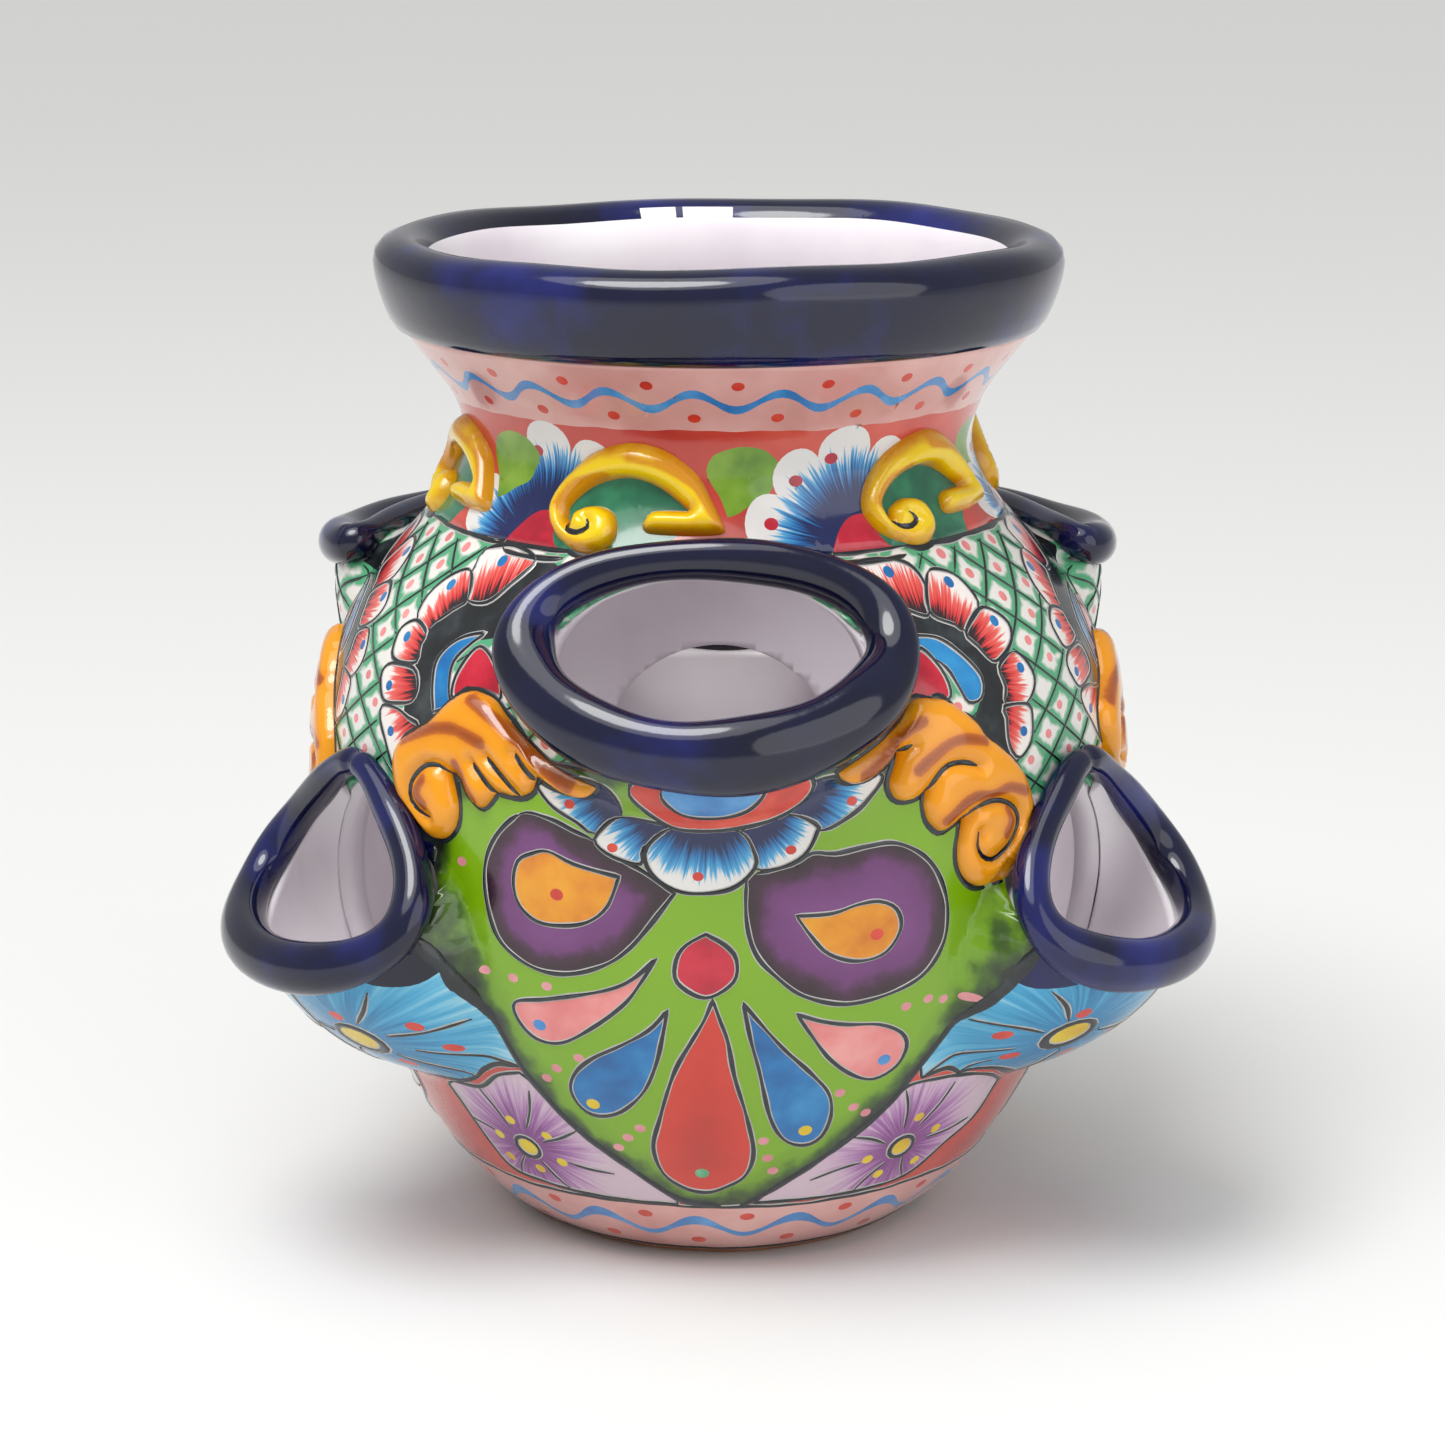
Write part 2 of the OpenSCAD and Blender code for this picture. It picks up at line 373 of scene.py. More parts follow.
def glassy(material, rough, coat):
    """Finishes a fired glaze: glossy, faintly rippled, with a few pinholes."""
    tree = material.node_tree
    shader = tree.nodes["Principled BSDF"]
    shader.inputs["Roughness"].default_value = rough
    shader.inputs["IOR"].default_value = 1.5
    shader.inputs["Coat Weight"].default_value = coat
    shader.inputs["Coat Roughness"].default_value = 0.04
    place = place_on(tree)
    ripple = node(tree, "ShaderNodeTexNoise", None, Vector=place, Scale=150.0, Detail=2.0)
    cells = node(tree, "ShaderNodeTexVoronoi", None, Vector=place, Scale=115.0)
    hole = node(tree, "ShaderNodeMapRange", None, i0=cells.outputs["Distance"], i1=0.0, i2=0.085, i3=-0.35, i4=0.0)
    height = node(
        tree, "ShaderNodeMath", {"operation": "MULTIPLY_ADD"}, i0=ripple.outputs["Fac"], i1=0.5, i2=hole.outputs[0]
    )
    bump = node(tree, "ShaderNodeBump", None, Height=height.outputs[0], Strength=0.25, Distance=0.0006)
    tree.links.new(bump.outputs["Normal"], shader.inputs["Normal"])
    return material


def new_material(name):
    material = bpy.data.materials.new(name)
    material.use_nodes = True
    return material


def colour_into(material, colour):
    tree = material.node_tree
    tree.links.new(colour, tree.nodes["Principled BSDF"].inputs["Base Color"])


def pooled_glaze(name, main, dark, light, scale, rough=0.16, coat=0.35):
    """A brushed glaze colour, deeper where it pooled and paler where it ran thin."""
    material = new_material(name)
    tree = material.node_tree
    pool = node(tree, "ShaderNodeTexNoise", None, Vector=place_on(tree), Scale=scale, Detail=3.0, Roughness=0.55)
    colour_into(material, ramp(tree, pool.outputs["Fac"], [(0.3, dark), (0.5, main), (0.72, light)]))
    return glassy(material, rough, coat)


def feathered_glaze(name, stops, turns=6.0, streak=0.16):
    """Petals brushed from the base outwards, so that one colour runs in ragged hairs over the next."""
    material = new_material(name)
    tree = material.node_tree
    parts = brush_parts(tree)
    spot = node(tree, "ShaderNodeCombineXYZ", None, X=maths(tree, "MULTIPLY", parts["X"], turns), Y=parts["Y"])
    hairs = node(tree, "ShaderNodeTexNoise", None, Vector=spot.outputs[0], Scale=1.0, Detail=2.0, Roughness=0.6)
    colour_into(material, ramp(tree, maths(tree, "ADD", parts["Y"], wander(tree, hairs, streak)), stops))
    return glassy(material, 0.16, 0.35)


def edged_glaze(name, stops, streak=0.12):
    """A colour shaded darker by a second brush along its outline."""
    material = new_material(name)
    tree = material.node_tree
    cloud = node(tree, "ShaderNodeTexNoise", None, Vector=place_on(tree), Scale=90.0, Detail=3.0)
    colour_into(
        material, ramp(tree, maths(tree, "ADD", brush_parts(tree)["Y"], wander(tree, cloud, streak)), stops)
    )
    return glassy(material, 0.16, 0.35)


def crossed_glaze(name, ground, strokes):
    """Soft diagonal brush strokes over the white ground, following the drawn cells."""
    material = new_material(name)
    tree = material.node_tree
    parts = brush_parts(tree)
    cloud = node(tree, "ShaderNodeTexNoise", None, Vector=place_on(tree), Scale=170.0, Detail=2.0)
    near = []
    for kind in ("ADD", "SUBTRACT"):
        half = maths(tree, "ADD", maths(tree, kind, parts["X"], parts["Y"]), 0.5)
        near.append(maths(tree, "PINGPONG", half, 0.5))
    total = maths(tree, "ADD", maths(tree, "MINIMUM", *near), wander(tree, cloud, 0.09))
    colour_into(material, ramp(tree, total, [(0.13, strokes), (0.24, ground)]))
    return glassy(material, 0.18, 0.3)


# Glazes brushed on in one colour: name, main, pooled and thin colours, and how fine the pooling is
POOLED = {
    "line": ("manganese_outline", "#1a2024", "#101517", "#2c3336", 160.0),
    "halo": ("bare_ground_beside_line", "#aeaba8", "#9a9794", "#bdbab7", 120.0),
    "pale_pink": ("pale_pink_glaze", "#d59e97", "#c98c84", "#e0b3ac", 30.0),
    "coral": ("coral_glaze", "#c24032", "#ad3429", "#d25645", 26.0),
    "crimson": ("crimson_glaze", "#b5142f", "#8f0e26", "#c8283c", 70.0),
    "orange_red": ("orange_red_glaze", "#cb3a28", "#b42c1e", "#da5238", 70.0),
    "salmon": ("salmon_glaze", "#dc8280", "#cf706e", "#e59a96", 60.0),
    "pink_dot": ("pink_dot_glaze", "#d38a90", "#c67a80", "#dc9ca0", 90.0),
    "blue": ("bright_blue_glaze", "#0f6cab", "#0b5490", "#2c88bf", 60.0),
    "wave_blue": ("wave_blue_glaze", "#3f86c4", "#2f6fae", "#5a9bd0", 80.0),
    "yellow": ("yellow_glaze", "#d8ba10", "#c9a008", "#e2ca2c", 60.0),
    "green": ("lattice_green_glaze", "#5ba57a", "#3f9064", "#86bd9a", 110.0),
    "leaf": ("leaf_green_glaze", "#6f9a1e", "#4c7a14", "#88ad36", 70.0),
    "dark_green": ("dark_green_glaze", "#1f6b4c", "#155440", "#358a62", 60.0),
    "black": ("brushed_black_glaze", "#1c2124", "#0f1214", "#383e40", 90.0),
    "amber": ("amber_teardrop_glaze", "#d88a0c", "#c8700a", "#e09c1c", 80.0),
    "royal": ("royal_blue_edge_glaze", "#24408c", "#182c70", "#3a5aa6", 90.0),
    # Lavender-white liner glaze of the inside, streaked where it ran
    "liner": ("lavender_liner_glaze", "#e9e2e7", "#dcd3da", "#f0ecee", 14.0),
    # Cobalt glaze, thick and nearly black, blue where it runs thin
    "cobalt": ("thick_cobalt_glaze", "#080c2e", "#05081e", "#181f68", 24.0),
    # Bare terracotta where the foot was wiped clean before firing
    "clay": ("bare_terracotta", "#b0714e", "#96593a", "#c08662", 60.0),
}
# Roughness and coat of the pooled glazes that aren't as glossy as the rest
GLOSS = {
    "line": (0.22, 0.35), "halo": (0.22, 0.35), "liner": (0.3, 0.15), "cobalt": (0.12, 0.2), "clay": (0.7, 0.0),
}
# Colours shaded along their outline, from the edge inwards
EDGED = {
    "lime": ("lime_panel_glaze", [(0.06, "#20281c"), (0.26, "#3c5c14"), (0.46, "#6b970a"), (0.8, "#76a40a")], 0.2),
    "purple": (
        "purple_paisley_glaze", [(0.08, "#2a1420"), (0.24, "#3c1c34"), (0.42, "#652f68"), (0.9, "#723a76")]
    ),
    "red_drop": ("red_teardrop_glaze", [(0.05, "#c93626"), (0.5, "#bd3022"), (1.0, "#ab2a20")]),
    # Yellow relief glaze: ochre towards the foot of the roll as painted shade, brightest on its crown, and ochre
    # along its brown strokes
    "scroll": (
        "yellow_scroll_glaze", [(0.0, "#d08c08"), (0.12, "#dda806"), (0.3, "#e8c404"), (1.0, "#eece10")]
    ),
    "curl": (
        "orange_curl_glaze", [(0.0, "#e2930a"), (0.42, "#d8840c"), (0.62, "#b05c12"), (1.0, "#94440e")], 0.1
    ),
}
# Petals, from the base outwards
FEATHERED = {
    "neck_petal": (
        "neck_petal_glaze", [(0.3, "#121f52"), (0.46, "#1a66a8"), (0.6, "#4ea2cf"), (0.68, "#dcdad7")]
    ),
    "low_petal": (
        "low_petal_glaze", [(0.34, "#141f4c"), (0.5, "#1a6fae"), (0.68, "#4aa4d0"), (0.78, "#dcdad6")], 6.0, 0.13,
    ),
    "rosette": (
        "rosette_petal_glaze", [(0.16, "#241c20"), (0.26, "#c4282c"), (0.56, "#dd6258"), (0.72, "#e4ddd8")], 6.0,
        0.2,
    ),
    "sky": (
        "sky_flower_glaze", [(0.1, "#1577a8"), (0.45, "#3c9cc6"), (0.75, "#6bb6d4"), (1.0, "#a9cfdc")], 2.2, 0.3,
    ),
    "lilac": (
        "lilac_flower_glaze", [(0.15, "#7c3f80"), (0.42, "#a26fa4"), (0.65, "#c09fbb"), (0.9, "#c9b3bf")], 2.2,
        0.26,
    ),
}


def make_glazes():
    """Every fired finish on the planter, by name."""
    glazes = {key: pooled_glaze(*recipe, *GLOSS.get(key, ())) for key, recipe in POOLED.items()}
    glazes.update((key, edged_glaze(*recipe)) for key, recipe in EDGED.items())
    glazes.update((key, feathered_glaze(*recipe)) for key, recipe in FEATHERED.items())
    # White field crossed by soft green brush strokes, thin where the brush ran dry
    glazes["lattice"] = crossed_glaze("green_lattice_on_white", "#dcd9d4", "#4f9f74")
    return glazes


GLAZES = {}  # filled by the add-on's first step


# ---------------------------------------------------------------------------------------------
# Meshes
# ---------------------------------------------------------------------------------------------


def make_piece(name, points, faces, glazes, slots=None, brush=None):
    """A finished piece on the root body, from points in millimetres."""
    mesh = bpy.data.meshes.new(name)
    mesh.from_pydata((np.asarray(points) * MM).tolist(), [], [list(map(int, f)) for f in faces])
    for glaze in glazes:
        mesh.materials.append(glaze)
    if slots is not None:
        mesh.polygons.foreach_set("material_index", np.asarray(slots, np.int32))
    if brush is not None:
        layer = mesh.uv_layers.new(name="Brush")
        layer.data.foreach_set("uv", np.asarray(brush, np.float32).reshape(-1))
    mesh.polygons.foreach_set("use_smooth", np.ones(len(mesh.polygons), bool))
    mesh.validate()
    mesh.update()
    piece = bpy.data.objects.new(name, mesh)
    bpy.context.scene.collection.objects.link(piece)
    return piece


def settle(piece, slot, *nodes):
    """Ties a piece to the pot's body and hides the plain pieces it stands for; the finish (slot) it is given is not
    used.
    """
    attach(piece, "root")
    if nodes:
        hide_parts(*nodes)
    return piece


def clear_selection():
    if bpy.context.object is not None and bpy.context.object.mode != "OBJECT":
        bpy.ops.object.mode_set(mode="OBJECT")
    bpy.ops.object.select_all(action="DESELECT")


def weld(piece, distance=0.00002):
    """Joins the points closer than a distance, if one is given, and turns every face outwards."""
    clear_selection()
    piece.select_set(True)
    bpy.context.view_layer.objects.active = piece
    bpy.ops.object.mode_set(mode="EDIT")
    bpy.ops.mesh.select_all(action="SELECT")
    if distance:
        bpy.ops.mesh.remove_doubles(threshold=distance)
    bpy.ops.mesh.normals_make_consistent(inside=False)
    bpy.ops.object.mode_set(mode="OBJECT")


def glaze_by(piece, glazes, second):
    """Glazes a piece with the first of two glazes, and with the other where a face passes the test."""
    for glaze in glazes:
        piece.data.materials.append(glaze)
    for face in piece.data.polygons:
        face.material_index = int(second(face.center / MM))


def throw_ring(name, profile, sides=192):
    """Throws a closed ring of clay: a circle pulled up, out and back to where it began."""
    clear_selection()
    radius, height = profile[0]
    bpy.ops.mesh.primitive_circle_add(vertices=sides, radius=radius * MM, location=(0, 0, height * MM))
    piece = bpy.context.object
    piece.name = piece.data.name = name
    bpy.ops.object.transform_apply(location=True, rotation=True, scale=True)
    bpy.ops.object.mode_set(mode="EDIT")
    bpy.ops.mesh.select_all(action="SELECT")
    closed = list(profile) + [profile[0]]
    for (r0, z0), (r1, z1) in zip(closed, closed[1:]):
        bpy.ops.mesh.extrude_region_move(TRANSFORM_OT_translate={"value": (0, 0, (z1 - z0) * MM)})
        bpy.ops.transform.resize(value=(r1 / r0, r1 / r0, 1))
    weld(piece, 0.00001)
    bpy.ops.object.shade_smooth()
    return piece


def vertices_of(piece):
    co = np.zeros(len(piece.data.vertices) * 3)
    piece.data.vertices.foreach_get("co", co)
    return co.reshape(-1, 3) / MM


def set_vertices(piece, points):
    piece.data.vertices.foreach_set("co", (np.asarray(points) * MM).reshape(-1))
    piece.data.update()


SHEET_SCALE = 2.1  # millimetres to a degree while a sheet is cut up, about the belly's own


def only_used(flat, faces):
    """The points that the faces use, and the faces numbered by them."""
    used, faces = np.unique(faces.reshape(-1), return_inverse=True)
    return flat[used], faces.reshape(-1, 3)


def triangles_along(points, edges, scale):
    """Triangles whose edges follow the given ones, as points of bearing and height."""
    verts, _, faces, _, _, _ = delaunay_2d_cdt([Vector(p) for p in points], edges, [], 0, 0.0005, False)
    return np.array([(v.x / scale, v.y) for v in verts]), np.array([f for f in faces if len(f) == 3])


def lay_sheet(low, high, step, outlines, drop_inside):
    """Triangles of the wall between two heights whose edges follow every outline, joined round the back."""
    turn = 360.0 / round(360.0 / (step / SHEET_SCALE))
    reach = 180 + 2 * turn
    columns = np.arange(-reach, reach + turn / 2, turn)
    rises = np.linspace(low, high, max(2, round((high - low) / step) + 1))
    points, edges = [], []
    for z in rises:
        points += [(b * SHEET_SCALE, z) for b in columns]
    width, count = len(columns), len(rises)
    for row in (0, count - 1):
        edges += [(row * width + i, row * width + i + 1) for i in range(width - 1)]
    for b in (-180.0, 180.0):
        i = int(np.argmin(np.abs(columns - b)))
        edges += [(j * width + i, (j + 1) * width + i) for j in range(count - 1)]
    for outline, closed in outlines:
        base = len(points)
        shape = np.asarray(outline)
        points += [(b * SHEET_SCALE, min(max(z, low), high)) for b, z in shape]
        n = len(shape)
        edges += [(base + i, base + (i + 1) % n) for i in range(n if closed else n - 1)]
    flat, faces = triangles_along(points, edges, SHEET_SCALE)
    middle = flat[faces].mean(1)
    keep = (np.abs(middle[:, 0]) < 180) & (middle[:, 1] > low) & (middle[:, 1] < high)
    for hole in drop_inside:
        keep &= ~inside(middle, hole)
    return only_used(flat, faces[keep])


def inside(points, outline):
    """Which points lie inside a closed outline."""
    shape = np.asarray(outline)
    low, high = shape.min(0), shape.max(0)
    result = np.zeros(len(points), bool)
    near = np.nonzero(((points >= low) & (points <= high)).all(1))[0]
    if len(near) == 0:
        return result
    x, y = points[near, 0][:, None], points[near, 1][:, None]
    x0, y0 = shape[:, 0][None], shape[:, 1][None]
    x1, y1 = np.roll(shape[:, 0], -1)[None], np.roll(shape[:, 1], -1)[None]
    crossing = (y0 > y) != (y1 > y)
    at = x0 + (y - y0) * (x1 - x0) / np.where(y1 == y0, 1e-9, y1 - y0)
    result[near] = (np.sum(crossing & (x < at), 1) % 2) == 1
    return result


def shifted(outline):
    """An outline and the copies of it that reach over the seam at the back."""
    shape = np.asarray(outline, float)
    if np.ptp(shape[:, 0]) > 359:
        return [shape]
    copies = []
    for turn in (-360, 0, 360):
        low, high = shape[:, 0].min() + turn, shape[:, 0].max() + turn
        if high > -184 and low < 184:
            copies.append(shape + [turn, 0])
    return copies


def distance_to(points, outline, closed=True):
    """Distance in millimetres from points to a drawn line, both as [bearing, height]."""
    shape = np.asarray(outline, float)
    scale = np.array([mm_per_degree(shape[:, 1].mean()), 1.0])
    p, a = np.asarray(points) * scale, shape * scale
    b = np.roll(a, -1, 0)
    if not closed:
        a, b = a[:-1], b[:-1]
    best = np.full(len(p), 1e9)
    for start in range(0, len(a), 40):
        s, e = a[start : start + 40][None], b[start : start + 40][None]
        d = e - s
        t = np.clip(np.sum((p[:, None] - s) * d, -1) / np.maximum(np.sum(d * d, -1), 1e-9), 0, 1)
        best = np.minimum(best, np.linalg.norm(p[:, None] - s - d * t[..., None], axis=-1).min(1))
    return best


DRAWN_SCALE = 1.9  # millimetres to a degree along a drawn line, between the neck's and the belly's
DRAWN_STEP = 1.7


def drawn(points, closed=True):
    """A hand-drawn line through points of [bearing, height]; a third value marks a corner."""
    n = len(points)
    flat = [np.array(p[:2], float) for p in points]
    corner = [len(p) > 2 for p in points]
    line = []
    for i in range(n if closed else n - 1):
        k = (i + 1) % n
        p1, p2 = flat[i], flat[k]
        p0 = p1 if corner[i] or (not closed and i == 0) else flat[i - 1]
        p3 = p2 if corner[k] or (not closed and i == n - 2) else flat[(i + 2) % n]
        length = math.hypot((p2[0] - p1[0]) * DRAWN_SCALE, p2[1] - p1[1])
        parts = max(1, round(length / DRAWN_STEP))
        square, cube = 2 * p0 - 5 * p1 + 4 * p2 - p3, 3 * p1 - p0 - 3 * p2 + p3
        for j in range(parts):
            t = j / parts
            line.append(0.5 * (2 * p1 + (p2 - p0) * t + square * t**2 + cube * t**3))
    if not closed:
        line.append(flat[-1])
    return np.array(line)


def oval(bearing, z, wide, tall, sides=14):
    """A dabbed dot: an oval so many millimetres wide and tall."""
    t = np.linspace(0, 2 * math.pi, sides, endpoint=False)
    return np.stack([bearing + wide / 2 * np.cos(t) / mm_per_degree(z), z + tall / 2 * np.sin(t)], -1)


def petal(focus, middle, spread, near, far, sides=14):
    """A scalloped petal of a flower seen from its focus, in degrees and millimetres."""
    s = np.sin(np.linspace(0, math.pi / 2, sides))
    width = spread / 2 * np.sqrt(np.maximum(1 - s**5, 0))
    reach = near + (far - near) * s
    angle = np.concatenate([middle - width, (middle + width)[::-1][1:]]) * DEGREE
    dist = np.concatenate([reach, reach[::-1][1:]])
    scale = mm_per_degree(focus[1])
    return np.stack([focus[0] + dist * np.cos(angle) / scale, focus[1] + dist * np.sin(angle)], -1)


def moved_brush(brush, turn):
    """A brush setting whose focus, if it has one, is turned round the pot."""
    if brush is None or brush[0] != "fan":
        return brush
    return ("fan", (brush[1][0] + turn, brush[1][1]), brush[2], brush[3])


class Painting:
    """What is painted between two heights: areas of glaze in the order laid, and lines over them."""

    def __init__(self, low, high):
        self.low, self.high, self.areas, self.lines = low, high, [], []

    def area(self, glaze, outline, line=1.25, brush=None, turn=0.0):
        shape = np.asarray(outline, float) + [turn, 0]
        self.areas.append((glaze, shape, moved_brush(brush, turn)))
        if line:
            self.lines.append((shape, True, line * 1.2, True, len(self.areas)))

    def line(self, outline, width=1.1, halo=True, turn=0.0, closed=False):
        self.lines.append((np.asarray(outline, float) + [turn, 0], closed, width, halo, len(self.areas)))


def reach_of(focus, points):
    """The brush setting that runs from a petal's nearest to its farthest point from a focus."""
    shape = np.asarray(points, float)[:, :2]
    scale = mm_per_degree(focus[1])
    far = np.hypot((shape[:, 0] - focus[0]) * scale, shape[:, 1] - focus[1])
    return ("fan", focus, float(far.min()), float(far.max()))


def brush_coordinates(flat, brush, shape):
    """Where each point lies for the brush: across the hairs, and along them."""
    if brush is None:
        return np.stack([flat[:, 0] * 0, flat[:, 1] * 0 + 0.5], -1)
    if brush[0] == "cells":
        return np.stack([flat[:, 0] / LATTICE_WIDE, (flat[:, 1] - LATTICE_TOP) / LATTICE_TALL], -1)
    if brush[0] == "edge":
        return np.stack([flat[:, 0] * 0.2, distance_to(flat, shape) / brush[1]], -1)
    _, focus, near, far = brush
    scale = mm_per_degree(focus[1])
    x, y = (flat[:, 0] - focus[0]) * scale, flat[:, 1] - focus[1]
    return np.stack([np.degrees(np.arctan2(y, x)) / 10, (np.hypot(x, y) - near) / (far - near)], -1)


def paint_skin(name, painting, step, holes, slot):
    """Lays the painted glaze over the skin, its edges on the drawn outlines."""
    outlines, order = [], []
    for glaze, shape, brush in painting.areas:
        for copy in shifted(shape):
            order.append((glaze, copy, moved_brush(brush, copy[0, 0] - shape[0, 0])))
            outlines.append((copy, True))
    cut = [copy for hole in holes for copy in shifted(hole)]
    flat, faces = lay_sheet(painting.low, painting.high, step, outlines + [(c, True) for c in cut], cut)
    middle = flat[faces].mean(1)
    names = sorted({glaze for glaze, _, _ in order})
    owner = np.full(len(faces), -1)
    for k, (_, shape, _) in enumerate(order):
        owner[inside(middle, shape)] = k
    slots = np.zeros(len(faces), int)
    brushes = np.zeros((len(faces), 3, 2))
    brushes[:, :, 1] = 0.5
    for k in np.unique(owner):
        if k < 0:
            continue
        glaze, shape, brush = order[k]
        chosen = np.nonzero(owner == k)[0]
        slots[chosen] = names.index(glaze)
        if brush is not None:
            corners = flat[faces[chosen]].reshape(-1, 2)
            brushes[chosen] = brush_coordinates(corners, brush, shape).reshape(-1, 3, 2)
    points = on_skin(flat[:, 0], flat[:, 1])
    piece = make_piece(name, points, faces, [GLAZES[n] for n in names], slots, brushes)
    weld(piece)
    bpy.ops.object.modifier_add(type="SOLIDIFY")
    coat = piece.modifiers[-1]
    coat.thickness, coat.offset = 0.0004, -1.0
    bpy.ops.object.modifier_apply(modifier=coat.name)
    return settle(piece, slot)


def ribbon(outline, closed, width, lift, seed):
    """A raised brush line that follows the skin: points and faces."""
    shape = np.asarray(outline, float)
    gap = np.hypot(np.diff(shape[:, 0]) * DRAWN_SCALE, np.diff(shape[:, 1]))
    shape = shape[np.concatenate([[True], gap > 0.05])]
    if len(shape) < 2:
        return np.zeros((0, 3)), []
    ahead, behind = np.roll(shape, -1, 0), np.roll(shape, 1, 0)
    if not closed:
        ahead[-1], behind[0] = shape[-1], shape[0]
    scale = np.stack([pot_radius(shape[:, 1]) * DEGREE, np.ones(len(shape))], -1)
    flow = unit((ahead - behind) * scale)
    side = np.stack([-flow[:, 1], flow[:, 0]], -1) / scale
    count = np.arange(len(shape))
    half = width / 2 * (1 + 0.16 * np.sin(count * 0.37 + seed) + 0.1 * np.sin(count * 0.93 + 2.1 * seed))
    if not closed:
        ends = np.minimum(count, len(shape) - 1 - count)
        half = half * np.minimum(1, 0.35 + 0.3 * ends)
    rows = []
    for across, up in ((-1.0, -0.12), (-0.55, lift), (0.55, lift), (1.0, -0.12)):
        moved = shape + side * (half * across)[:, None]
        rows.append(on_skin(moved[:, 0], moved[:, 1], up))
    points = np.stack(rows, 1).reshape(-1, 3)
    faces = []
    n = len(shape)
    for i in range(n if closed else n - 1):
        for k in range(3):
            a, b = i * 4 + k, ((i + 1) % n) * 4 + k
            faces.append((a, b, b + 1, a + 1))
    if not closed:
        faces += [(0, 1, 2, 3), tuple((n - 1) * 4 + k for k in (3, 2, 1, 0))]
    return points, faces


def leave_out(painting, holes):
    """Breaks the lines where a mouth opens or where something was painted over them."""
    covers = [(copy, 1e9) for hole in holes for copy in shifted(hole)]
    covers += [(copy, k) for k, (_, shape, _) in enumerate(painting.areas) for copy in shifted(shape)]
    boxes = np.array([np.concatenate([shape.min(0), shape.max(0)]) for shape, _ in covers])
    ranks = np.array([rank for _, rank in covers])
    kept = []
    for shape, closed, width, halo, rank in painting.lines:
        goes_round = np.ptp(shape[:, 0]) > 350
        line = np.concatenate([shape, shape[:1]]) if closed and not goes_round else shape
        turned = (line + [180, 0]) % [360, 1e9] - [180, 0]
        low, high = turned.min(0), turned.max(0)
        near = ((boxes[:, :2] < high) & (boxes[:, 2:] > low)).all(1)
        out = np.zeros(len(line), bool)
        for k in np.nonzero(near & (ranks >= rank))[0]:
            out |= inside(turned, covers[k][0])
        if not out.any():
            kept.append((shape, closed, width, halo))
            continue
        runs = np.split(np.arange(len(line)), np.nonzero(out)[0])
        kept += [(line[run[1 if out[run[0]] else 0 :]], False, width, halo) for run in runs if len(run) > 3]
    return kept


def trail_lines(name, painting, glaze, extra, lift, halo_only, slot):
    """Draws every line of a painting as one piece of trailed glaze."""
    points, faces, total = [], [], 0
    for seed, (shape, closed, width, halo) in enumerate(painting.lines):
        if halo_only and not halo:
            continue
        closed = closed or np.ptp(shape[:, 0]) > 359
        p, f = ribbon(shape, closed, width + extra, lift + 0.004 * (seed % 20), seed)
        points.append(p)
        faces += [tuple(v + total for v in face) for face in f]
        total += len(p)
    piece = make_piece(name, np.concatenate(points), faces, [glaze])
    weld(piece, None)
    return settle(piece, slot)


# ---------------------------------------------------------------------------------------------
# The paintings, drawn as bearings and heights on the front sector and repeated for the others
# ---------------------------------------------------------------------------------------------

LATTICE_WIDE, LATTICE_TALL, LATTICE_TOP = 9, 13, 218
BAND_START = 4.6  # where the waved bands' first crest stands, in degrees before the front


def round_the_pot(step):
    """Bearings once round the pot and a little over the seam."""
    return np.arange(-183.75, 183.8, step)


def wavy(z, swing=0.5, seed=0.0):
    """A line drawn round the pot at a height, not quite level."""
    b = round_the_pot(1.25)
    r = b * DEGREE
    wave = np.sin(7 * r + seed) * 0.5 + np.sin(19 * r + 2 * seed) * 0.3 + np.sin(43 * r + seed) * 0.2
    return np.stack([b, z + swing * wave], -1)


def between(lower, upper):
    return np.concatenate([lower, upper[::-1]])


def waved_band(p, crests, shape, below, above, wide, tall):
    """A blue wave round the pot, shaped by its middle and half width, with a red dot in each bend."""
    turns = round_the_pot(1.2)
    middle, half = shape((turns + BAND_START) * DEGREE * crests)
    p.area(
        "wave_blue", between(np.stack([turns, middle - half], -1), np.stack([turns, middle + half], -1)), line=0
    )
    for k in range(crests):
        at = -BAND_START + k * 360 / crests
        p.area("orange_red", oval(at, below, wide, tall), line=0)
        p.area("orange_red", oval(at + 180 / crests, above, wide, tall), line=0)


def stroke(points, width):
    """The outline of one brush stroke along a drawn line, narrower at its ends."""
    line = drawn(points, closed=False)
    scale = np.stack([pot_radius(line[:, 1]) * DEGREE, np.ones(len(line))], -1)
    flow = unit(np.gradient(line * scale, axis=0))
    side = np.stack([-flow[:, 1], flow[:, 0]], -1) / scale
    t = np.linspace(0, 1, len(line))
    half = width / 2 * np.minimum(1, 0.3 + 4 * np.minimum(t, 1 - t))
    return np.concatenate([line + side * half[:, None], (line - side * half[:, None])[::-1]])


CURL_LEFT = [
    (-37.5, 183.5), (-34.5, 183), (-32.5, 181.5), (-30.5, 178), (-28, 174), (-25, 170.5), (-22.3, 167.5), (-19, 165),
    (-16.7, 163.7), (-15.5, 162.8, 1), (-16.2, 160.5), (-17.7, 159), (-20.1, 158.8), (-22.7, 160.2), (-25, 162.3, 1),
    (-25.5, 158.5), (-27.5, 156.3), (-31, 156.5, 1), (-33.3, 151.3), (-35.8, 155), (-36.7, 158.5), (-38, 160),
    (-38.8, 159.8, 1), (-37.8, 154.5), (-37.3, 150), (-37.7, 145), (-39, 141.3), (-40.5, 139.7), (-42.3, 139.8),
    (-44.5, 142.5), (-46.7, 146), (-48.8, 150), (-49.8, 155), (-50.3, 160.3), (-49.5, 165.3), (-47.3, 168.8),
    (-44, 173), (-42, 177), (-40.5, 180),
]
